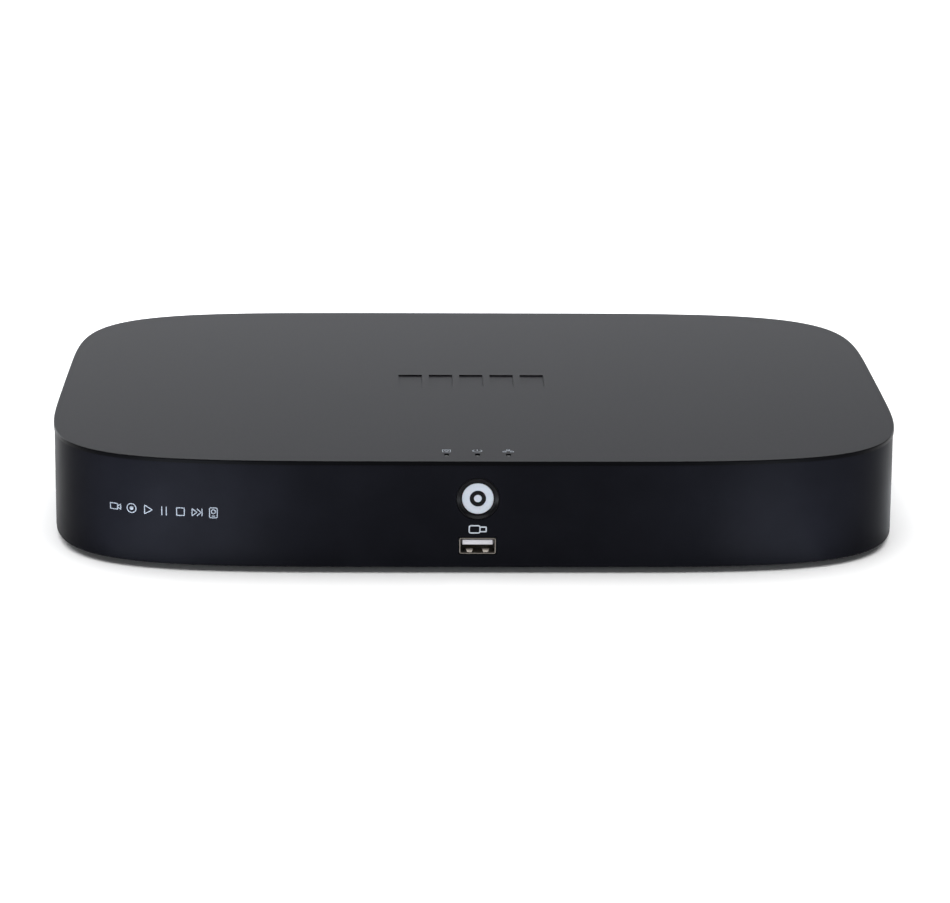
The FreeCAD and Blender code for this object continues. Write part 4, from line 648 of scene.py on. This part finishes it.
DISH_DEPTH = 0.9 * MM
FACE_RADIUS = 6.1 * MM
CREST_ROUNDING = 0.3 * MM
CREST_RADIUS = BUTTON_RADIUS - CREST_ROUNDING
FLANGE_THICKNESS = 1.2 * MM
GUIDE_STEM_RADIUS = 2.2 * MM
DOT_RADIUS = 1.42 * MM
GUIDE_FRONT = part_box("button_light_guide")[0][1]
GUIDE_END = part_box("button_light_guide")[1][1]
GROOVE_FLOOR = GUIDE_FRONT + 0.9 * MM
FIT = 0.03 * MM


def turned_piece(name, profile, slot, node):
    """A profile turned about the button's axis, in place of one of its CAD nodes."""
    mesh = bmesh.new()
    revolve(mesh, profile, BUTTON)
    piece = new_piece(name, mesh, "power_button", MATERIALS[slot])
    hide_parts(node)


def make_button_cap():
    """A flat floor round the guide, a hollow slope up to a rounded crest, and a flange behind."""
    bore = GUIDE_RADIUS + 0.05 * MM
    dish_floor = BUTTON_FRONT + DISH_DEPTH
    flange_front = BUTTON_BACK - FLANGE_THICKNESS
    profile = [(bore, dish_floor), (FACE_RADIUS, dish_floor)]
    slope_width = CREST_RADIUS - FACE_RADIUS - 0.1 * MM
    steps = 10
    for i in range(1, steps):
        share = i / steps
        profile.append((FACE_RADIUS + slope_width * share, dish_floor - DISH_DEPTH * share**1.5))
    profile += arc(CREST_RADIUS, BUTTON_FRONT + CREST_ROUNDING, CREST_ROUNDING, -100, 0)
    profile += [(BUTTON_RADIUS, flange_front), (BUTTON_FLANGE_RADIUS, flange_front)]
    profile += [(BUTTON_FLANGE_RADIUS, BUTTON_BACK), (bore, BUTTON_BACK), profile[0]]
    turned_piece("button_cap_dished", profile, "button_black", "power_button")


def make_button_guide():
    """The white guide: a dot, a groove for the black ring, the lit ring, and a stem behind."""
    groove_outside = RING_RADIUS + FIT
    crown, dot_ease, groove_ease, rim_ease = 0.02 * MM, 0.15 * MM, 0.12 * MM, 0.2 * MM
    profile = [(0, GUIDE_FRONT - crown)]
    profile += arc(DOT_RADIUS - dot_ease, GUIDE_FRONT + dot_ease, dot_ease, -90, 0)
    profile += [(DOT_RADIUS, GROOVE_FLOOR), (groove_outside, GROOVE_FLOOR)]
    profile += arc(groove_outside + groove_ease, GUIDE_FRONT + groove_ease, groove_ease, 180, 270)
    profile += arc(GUIDE_RADIUS - rim_ease, GUIDE_FRONT + rim_ease, rim_ease, -90, 0)
    profile += [(GUIDE_RADIUS, BUTTON_BACK), (GUIDE_STEM_RADIUS, BUTTON_BACK)]
    profile += [(GUIDE_STEM_RADIUS, GUIDE_END), (0, GUIDE_END)]
    turned_piece("button_guide_turned", profile, "button_white", "button_light_guide")


def make_button_ring():
    """The black ring, rounded in front and a little below the guide's face."""
    inner = DOT_RADIUS + FIT
    half = (RING_RADIUS - inner) / 2
    height, recess = 0.3 * MM, 0.25 * MM
    profile = [(inner, GROOVE_FLOOR)]
    steps = 8
    for i in range(steps + 1):
        turn = math.radians(180 - 180 * i / steps)
        face = GUIDE_FRONT + recess - height * math.sin(turn)
        profile.append((inner + half + half * math.cos(turn), face))
    profile += [(RING_RADIUS, GROOVE_FLOOR), (inner, GROOVE_FLOOR)]
    turned_piece("button_ring_turned", profile, "button_black", "button_inner_ring")


# ---------------------------------------------------------------- front data port

PORT_WALL = 0.35 * MM
PORT_CORNER = 0.8 * MM
FINGER_THICKNESS = 0.15 * MM
FINGER_OFFSET = 3.0 * MM
# how far in, how high above the floor and how wide to each side, in mm
FINGER_LINE = ((0.6, 0.05, 0.8), (1.1, 0.75, 1.15), (1.9, 1.25, 1.45), (3.6, 0.8, 1.5), (6.0, 0.0, 1.5))


def data_port_shell(mesh, centre, half_x, half_z, mouth, back):
    """A rounded steel shell with two sprung fingers that rise from its floor."""
    inward = 1 if back > mouth else -1

    def outline(inset):
        return box_corners(centre.x, centre.z, half_x - inset, half_z - inset)

    formed_shell(mesh, outline, mouth, back, PORT_WALL, PORT_CORNER)
    low = centre.z - half_z + PORT_WALL
    path = [(mouth + inward * y * MM, low + z * MM, half * MM) for y, z, half in FINGER_LINE]
    for side in (-1, 1):
        strip(mesh, centre.x + side * FINGER_OFFSET, path, FINGER_THICKNESS)


def make_front_port():
    mesh = bmesh.new()
    front, back = [corner[1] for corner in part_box("front_port_shell")]
    data_port_shell(mesh, PORT, PORT_SIZE.x / 2, PORT_SIZE.z / 2, front, back)
    shell = new_piece("front_port_formed", mesh, "case", MATERIALS["tin_shell"])
    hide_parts("front_port_shell")


# ---------------------------------------------------------------- printed marks

LIFT = 0.015 * MM  # how far the middle of the print is above its surface
BAND = surface_of("side_frame")
LID = surface_of("top_cover")


def on_band(x, z):
    found = BAND.ray_cast(Vector((x, -1, z)), Vector((0, 1, 0)))[0]
    return found + Vector((0, -LIFT, 0))


def on_lid(x, y):
    found = LID.ray_cast(Vector((x, y, 1)), Vector((0, 0, -1)))[0]
    return found + Vector((0, 0, LIFT))


def on_panel(x, z):
    """The rear panel, where x runs to the right for someone facing it."""
    return Vector((-x, PANEL_FACE + LIFT, z))


def make_band_marks():
    """A row of seven recorder pictograms at the left, and a memory stick over the data port."""
    row = Print(on_band, 0.36 * MM)
    drawings = (draw_camera, draw_record, draw_play, draw_pause, draw_stop, draw_skip, draw_disk)
    first, last, height, half_size = -134.6 * MM, -97.8 * MM, 22.8 * MM, 2.0 * MM
    for i, draw in enumerate(drawings):
        draw(row.at(first + (last - first) * i / (len(drawings) - 1), height, half_size))
    row.finish("band_pictograms", PALE_INK)

    port = Print(on_band, 0.45 * MM)
    rise, half_size = 6.4 * MM, 2.1 * MM
    draw_stick(port.at(PORT.x, PORT.z + rise, half_size))
    port.finish("port_pictogram", WHITE_INK)


def make_lid_marks():
    """One pictogram behind each indicator: disk, power and network."""
    marks = Print(on_lid, 0.34 * MM)
    y, half_size = LAMP_Y + 5.8 * MM, 2.0 * MM
    for place, draw in ((-1, draw_disk), (0, draw_power), (1, draw_network)):
        draw(marks.at(place * LAMP_PITCH, y, half_size))
    marks.finish("lid_pictograms", PALE_INK)


def make_rear_marks():
    """The numbers 1 to 8 over the video inputs, and a pictogram by each of the other sockets."""
    marks = Print(on_panel, 0.32 * MM)
    digit_rise, digit_half_size = 9.6 * MM, 1.2 * MM
    for i in range(BNC_COUNT):
        marks.at(-bnc_x(i), BNC_Z + digit_rise, digit_half_size).stroke(DIGITS[i + 1])
    above = {
        "dc_socket_housing": draw_direct_current,
        "rear_usb_shell": draw_stick,
        "network_socket_shell": draw_network,
        "hdmi_shell": draw_monitor,
        "vga_shell": draw_monitor,
    }
    rise, aside, half_size = 3.4 * MM, 7.6 * MM, 1.3 * MM
    for node, draw in above.items():
        draw(marks.at(-middle(node).x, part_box(node)[1][2] + rise, half_size))
    for node, draw in (("audio_in_core", draw_microphone), ("audio_out_core", draw_speaker)):
        draw(marks.at(-middle(node).x + aside, middle(node).z, half_size))
    marks.finish("rear_pictograms", WHITE_INK)


# ---------------------------------------------------------------- rear sockets

def bnc_x(i):
    """Where one of the video inputs is along the panel."""
    return BNC_FIRST + (BNC_LAST - BNC_FIRST) * i / (BNC_COUNT - 1)


def add_socket(name, mesh, material, node):
    """A finished socket shell in place of its CAD node."""
    piece = new_piece(name, mesh, "case", MATERIALS[material])
    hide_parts(node)


EASED_NODES = (
    "terminal_block",
    "dc_socket_housing",
    "network_socket_shell",
    "vga_shell",
    "vga_insulator",
    "vga_standoffs",
    "bnc_housings",
    "audio_housing",
    "rear_usb_tongues",
    "front_port_tongue",
)


def ease_sockets():
    for node in EASED_NODES:
        ease_node(node, 0.15 * MM)


def make_bayonet_sleeves():
    """Eight plated bayonet sleeves: a chamfered seat, a waisted barrel, a rounded lip and two lugs."""
    low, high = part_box("bnc_shells")
    seat_radius = (high[2] - low[2]) / 2
    start, end = low[1], high[1]
    barrel, bore = 4.8 * MM, 4.05 * MM
    waist = barrel - 0.2 * MM
    seat_front = PANEL_FACE + 1.4 * MM
    chamfer, fillet, lip = 0.3 * MM, 0.35 * MM, 0.3 * MM
    profile = [(bore, start), (seat_radius, start), (seat_radius, seat_front - chamfer)]
    profile += [(seat_radius - chamfer, seat_front)]
    profile += arc(barrel + fillet, seat_front + fillet, fillet, -90, -180, 4)
    profile += [(barrel, end - 7.4 * MM), (waist, end - 7.2 * MM), (waist, end - 6.7 * MM)]
    profile += [(barrel, end - 6.5 * MM), (barrel, end - 1.0 * MM)]
    profile += arc(barrel - lip, end - lip, lip, 0, 90, 4)
    profile += arc(bore + 0.2 * MM, end - 0.2 * MM, 0.2 * MM, 90, 180, 4)
    profile += [(bore, start)]
    lug_radius, lug_reach, lug_ease, lug_from_end = 0.95 * MM, 0.75 * MM, 0.25 * MM, 5.2 * MM
    mesh = bmesh.new()
    for i in range(BNC_COUNT):
        x = bnc_x(i)
        revolve(mesh, profile, (x, 0, BNC_Z), steps=64)
        for side in (-1, 1):
            root = x + side * (barrel - 0.3 * MM)
            tip = x + side * (barrel + lug_reach)
            lug = [(0, root), (lug_radius, root), (lug_radius, tip - side * lug_ease)]
            lug += [(lug_radius - lug_ease, tip), (0, tip)]
            revolve(mesh, lug, (0, end - lug_from_end, BNC_Z), axis="X", steps=24)
    add_socket("bnc_sleeves_turned", mesh, "nickel", "bnc_shells")


def make_rear_ports():
    """Two stacked data ports, each with its own fingers."""
    low, high = [Vector(corner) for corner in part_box("rear_usb_shell")]
    half_x, half_z = (high.x - low.x) / 2, (high.z - low.z) / 4
    mesh = bmesh.new()
    for rise in (1, 3):
        centre = Vector(((low.x + high.x) / 2, 0, low.z + rise * half_z))
        data_port_shell(mesh, centre, half_x, half_z, high.y, low.y)
    add_socket("rear_ports_formed", mesh, "tin_shell", "rear_usb_shell")


def make_phono_sleeves():
    """The two phono sleeves: a stepped collar and a barrel with a rounded lip."""
    low, high = [Vector(corner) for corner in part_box("audio_sleeves")]
    collar, barrel, bore = (high.x - low.x) / 2, 4.15 * MM, 3.4 * MM
    collar_front = PANEL_FACE + 0.8 * MM
    ease, outer_lip, inner_lip = 0.2 * MM, 0.35 * MM, 0.15 * MM
    profile = [(bore, low.y), (collar, low.y), (collar, collar_front - ease)]
    profile += arc(collar - ease, collar_front - ease, ease, 0, 90, 4)
    profile += arc(barrel + ease, collar_front + ease, ease, -90, -180, 4)
    profile += arc(barrel - outer_lip, high.y - outer_lip, outer_lip, 0, 90, 5)
    profile += arc(bore + inner_lip, high.y - inner_lip, inner_lip, 90, 180, 4)
    profile += [(bore, low.y)]
    mesh = bmesh.new()
    for node in ("audio_out_core", "audio_in_core"):
        revolve(mesh, profile, middle(node), steps=64)
    add_socket("phono_sleeves_turned", mesh, "nickel", "audio_sleeves")


def make_digital_video_shell():
    """The digital video socket's folded shell, with its two lower corners cut away."""
    low, high = [Vector(corner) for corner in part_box("hdmi_shell")]
    x = (low.x + high.x) / 2

    def outline(inset):
        wide, narrow = 7.5 * MM - inset, 6.1 * MM - inset * 0.7
        bottom, step, top = low.z + inset, low.z + 2.0 * MM + inset * 0.4, high.z - inset
        right = [(x + narrow, bottom), (x + wide, step), (x + wide, top)]
        left = [(x - wide, top), (x - wide, step), (x - narrow, bottom)]
        return right + left

    mesh = bmesh.new()
    formed_shell(mesh, outline, high.y, low.y, 0.4 * MM, 0.5 * MM)
    add_socket("digital_video_formed", mesh, "tin_shell", "hdmi_shell")


# ---------------------------------------------------------------- camera, light and floor

def make_camera():
    """A long lens in front of the case, a little left of its middle and looking down at it."""
    pan, tilt, roll = math.radians(1.319), math.radians(14.405), math.radians(-0.43)
    forward = Vector((math.sin(pan) * math.cos(tilt), math.cos(pan) * math.cos(tilt), -math.sin(tilt)))
    level_right = Vector((math.cos(pan), -math.sin(pan), 0))
    level_down = forward.cross(level_right)
    right = math.cos(roll) * level_right + math.sin(roll) * level_down
    down = math.cos(roll) * level_down - math.sin(roll) * level_right
    camera = bpy.data.objects.new("Camera", bpy.data.cameras.new("Camera"))
    camera.data.sensor_width = 36
    camera.data.lens = 146.6
    camera.data.clip_start = 0.05
    turn = Matrix((right, -down, -forward)).transposed().to_4x4()
    place = Vector((-0.033, -1.508, 0.4015))
    camera.matrix_world = Matrix.Translation(place) @ turn
    bpy.context.scene.collection.objects.link(camera)
    bpy.context.scene.camera = camera


def soft_box(name, place, target, width, height, power, colour):
    """A rectangular light that faces its target and that the camera doesn't see."""
    light = bpy.data.lights.new(name, "AREA")
    light.shape = "RECTANGLE"
    light.size = width
    light.size_y = height
    light.energy = power
    light.color = colour
    lamp = bpy.data.objects.new(name, light)
    lamp.location = place
    lamp.rotation_euler = (Vector(target) - Vector(place)).to_track_quat("-Z", "Y").to_euler()
    lamp.visible_camera = False
    bpy.context.scene.collection.objects.link(lamp)
    return lamp


DIM_SURROUND = 0.16
BACK_LIGHT = 0.7


def make_surround():
    """Light that is bright behind the case and dim at its sides and front."""
    world = bpy.data.worlds.new("Studio")
    bpy.context.scene.world = world
    world.use_nodes = True
    tree = world.node_tree
    background = tree.nodes["Background"]
    direction = tree.nodes.new("ShaderNodeTexCoord")
    parts = tree.nodes.new("ShaderNodeSeparateXYZ")
    tree.links.new(direction.outputs["Generated"], parts.inputs[0])
    behind = tree.nodes.new("ShaderNodeMapRange")
    behind.interpolation_type = "SMOOTHSTEP"
    limits = {"From Min": 0.35, "From Max": 0.95, "To Min": DIM_SURROUND, "To Max": BACK_LIGHT}
    for name, value in limits.items():
        behind.inputs[name].default_value = value
    tree.links.new(parts.outputs["Y"], behind.inputs["Value"])
    tree.links.new(behind.outputs["Result"], background.inputs["Strength"])
    background.inputs["Color"].default_value = (1, 1, 1, 1)


def overhead(strength, spread):
    """A wide soft light straight above."""
    light = bpy.data.lights.new("Overhead", "SUN")
    light.energy = strength
    light.angle = math.radians(spread)
    bpy.context.scene.collection.objects.link(bpy.data.objects.new("Overhead", light))


def panel(name, bearing, width, brightness, height=0.5, distance=1.6):
    """An upright soft box on the floor, at a bearing in degrees from the front, positive to the right."""
    turn = math.radians(bearing)
    place = (distance * math.sin(turn), -distance * math.cos(turn), height / 2)
    power = math.pi * brightness * width * height
    soft_box(name, place, (0, 0, height / 2), width, height, power, (0.93, 0.96, 1))


def floor_glow(name, start, bearing, width, brightness, length=0.17):
    """A glowing strip flat on the floor, running outward from a point beside the band."""
    turn = math.radians(bearing)
    outward = Vector((math.sin(turn), -math.cos(turn)))
    gap = 14 * MM
    centre = Vector(start) + (gap + length / 2) * outward
    power = math.pi * brightness * width * length
    lamp = soft_box(name, (*centre, 0.4 * MM), (*centre, 1), width, length, power, (0.86, 0.92, 1))
    lamp.rotation_euler = (math.pi, 0, turn)


def make_studio():
    """Light from above and behind, soft boxes, and strips whose reflections run round the band."""
    make_surround()
    overhead(3.8, 90)
    floor_glow("Left glow", (-0.107, -0.123), -24, 0.085, 8.5)
    floor_glow("Right glow", (0.108, -0.124), 25, 0.055, 8)
    floor_glow("Rim glow", (0.156, -0.085), 118, 0.12, 0.8)
    panel("Left", -36, 0.7, 4)
    panel("Right", 44, 0.5, 4)
    panel("Back", -164, 1.4, 3.7, height=0.35, distance=0.62)
    bpy.context.scene.view_settings.view_transform = "Standard"


def make_floor():
    mesh = bmesh.new()
    reach = 60.0
    mesh.faces.new([mesh.verts.new((x, y, 0)) for x, y in rectangle(reach, reach)])
    data = bpy.data.meshes.new("Floor")
    mesh.to_mesh(data)
    mesh.free()
    floor = bpy.data.objects.new("Floor", data)
    bpy.context.scene.collection.objects.link(floor)
    paint = Finish("floor_white", (0.93, 0.93, 0.93), 0.8)
    paint.vary_colour(0.3, 0.004)
    data.materials.append(paint.material)


finish_cad_nodes()
make_camera()
make_studio()
make_floor()
make_button_cap()
make_button_guide()
make_button_ring()
make_front_port()
make_band_marks()
make_lid_marks()
make_rear_marks()
ease_sockets()
make_bayonet_sleeves()
make_rear_ports()
make_phono_sleeves()
make_digital_video_shell()
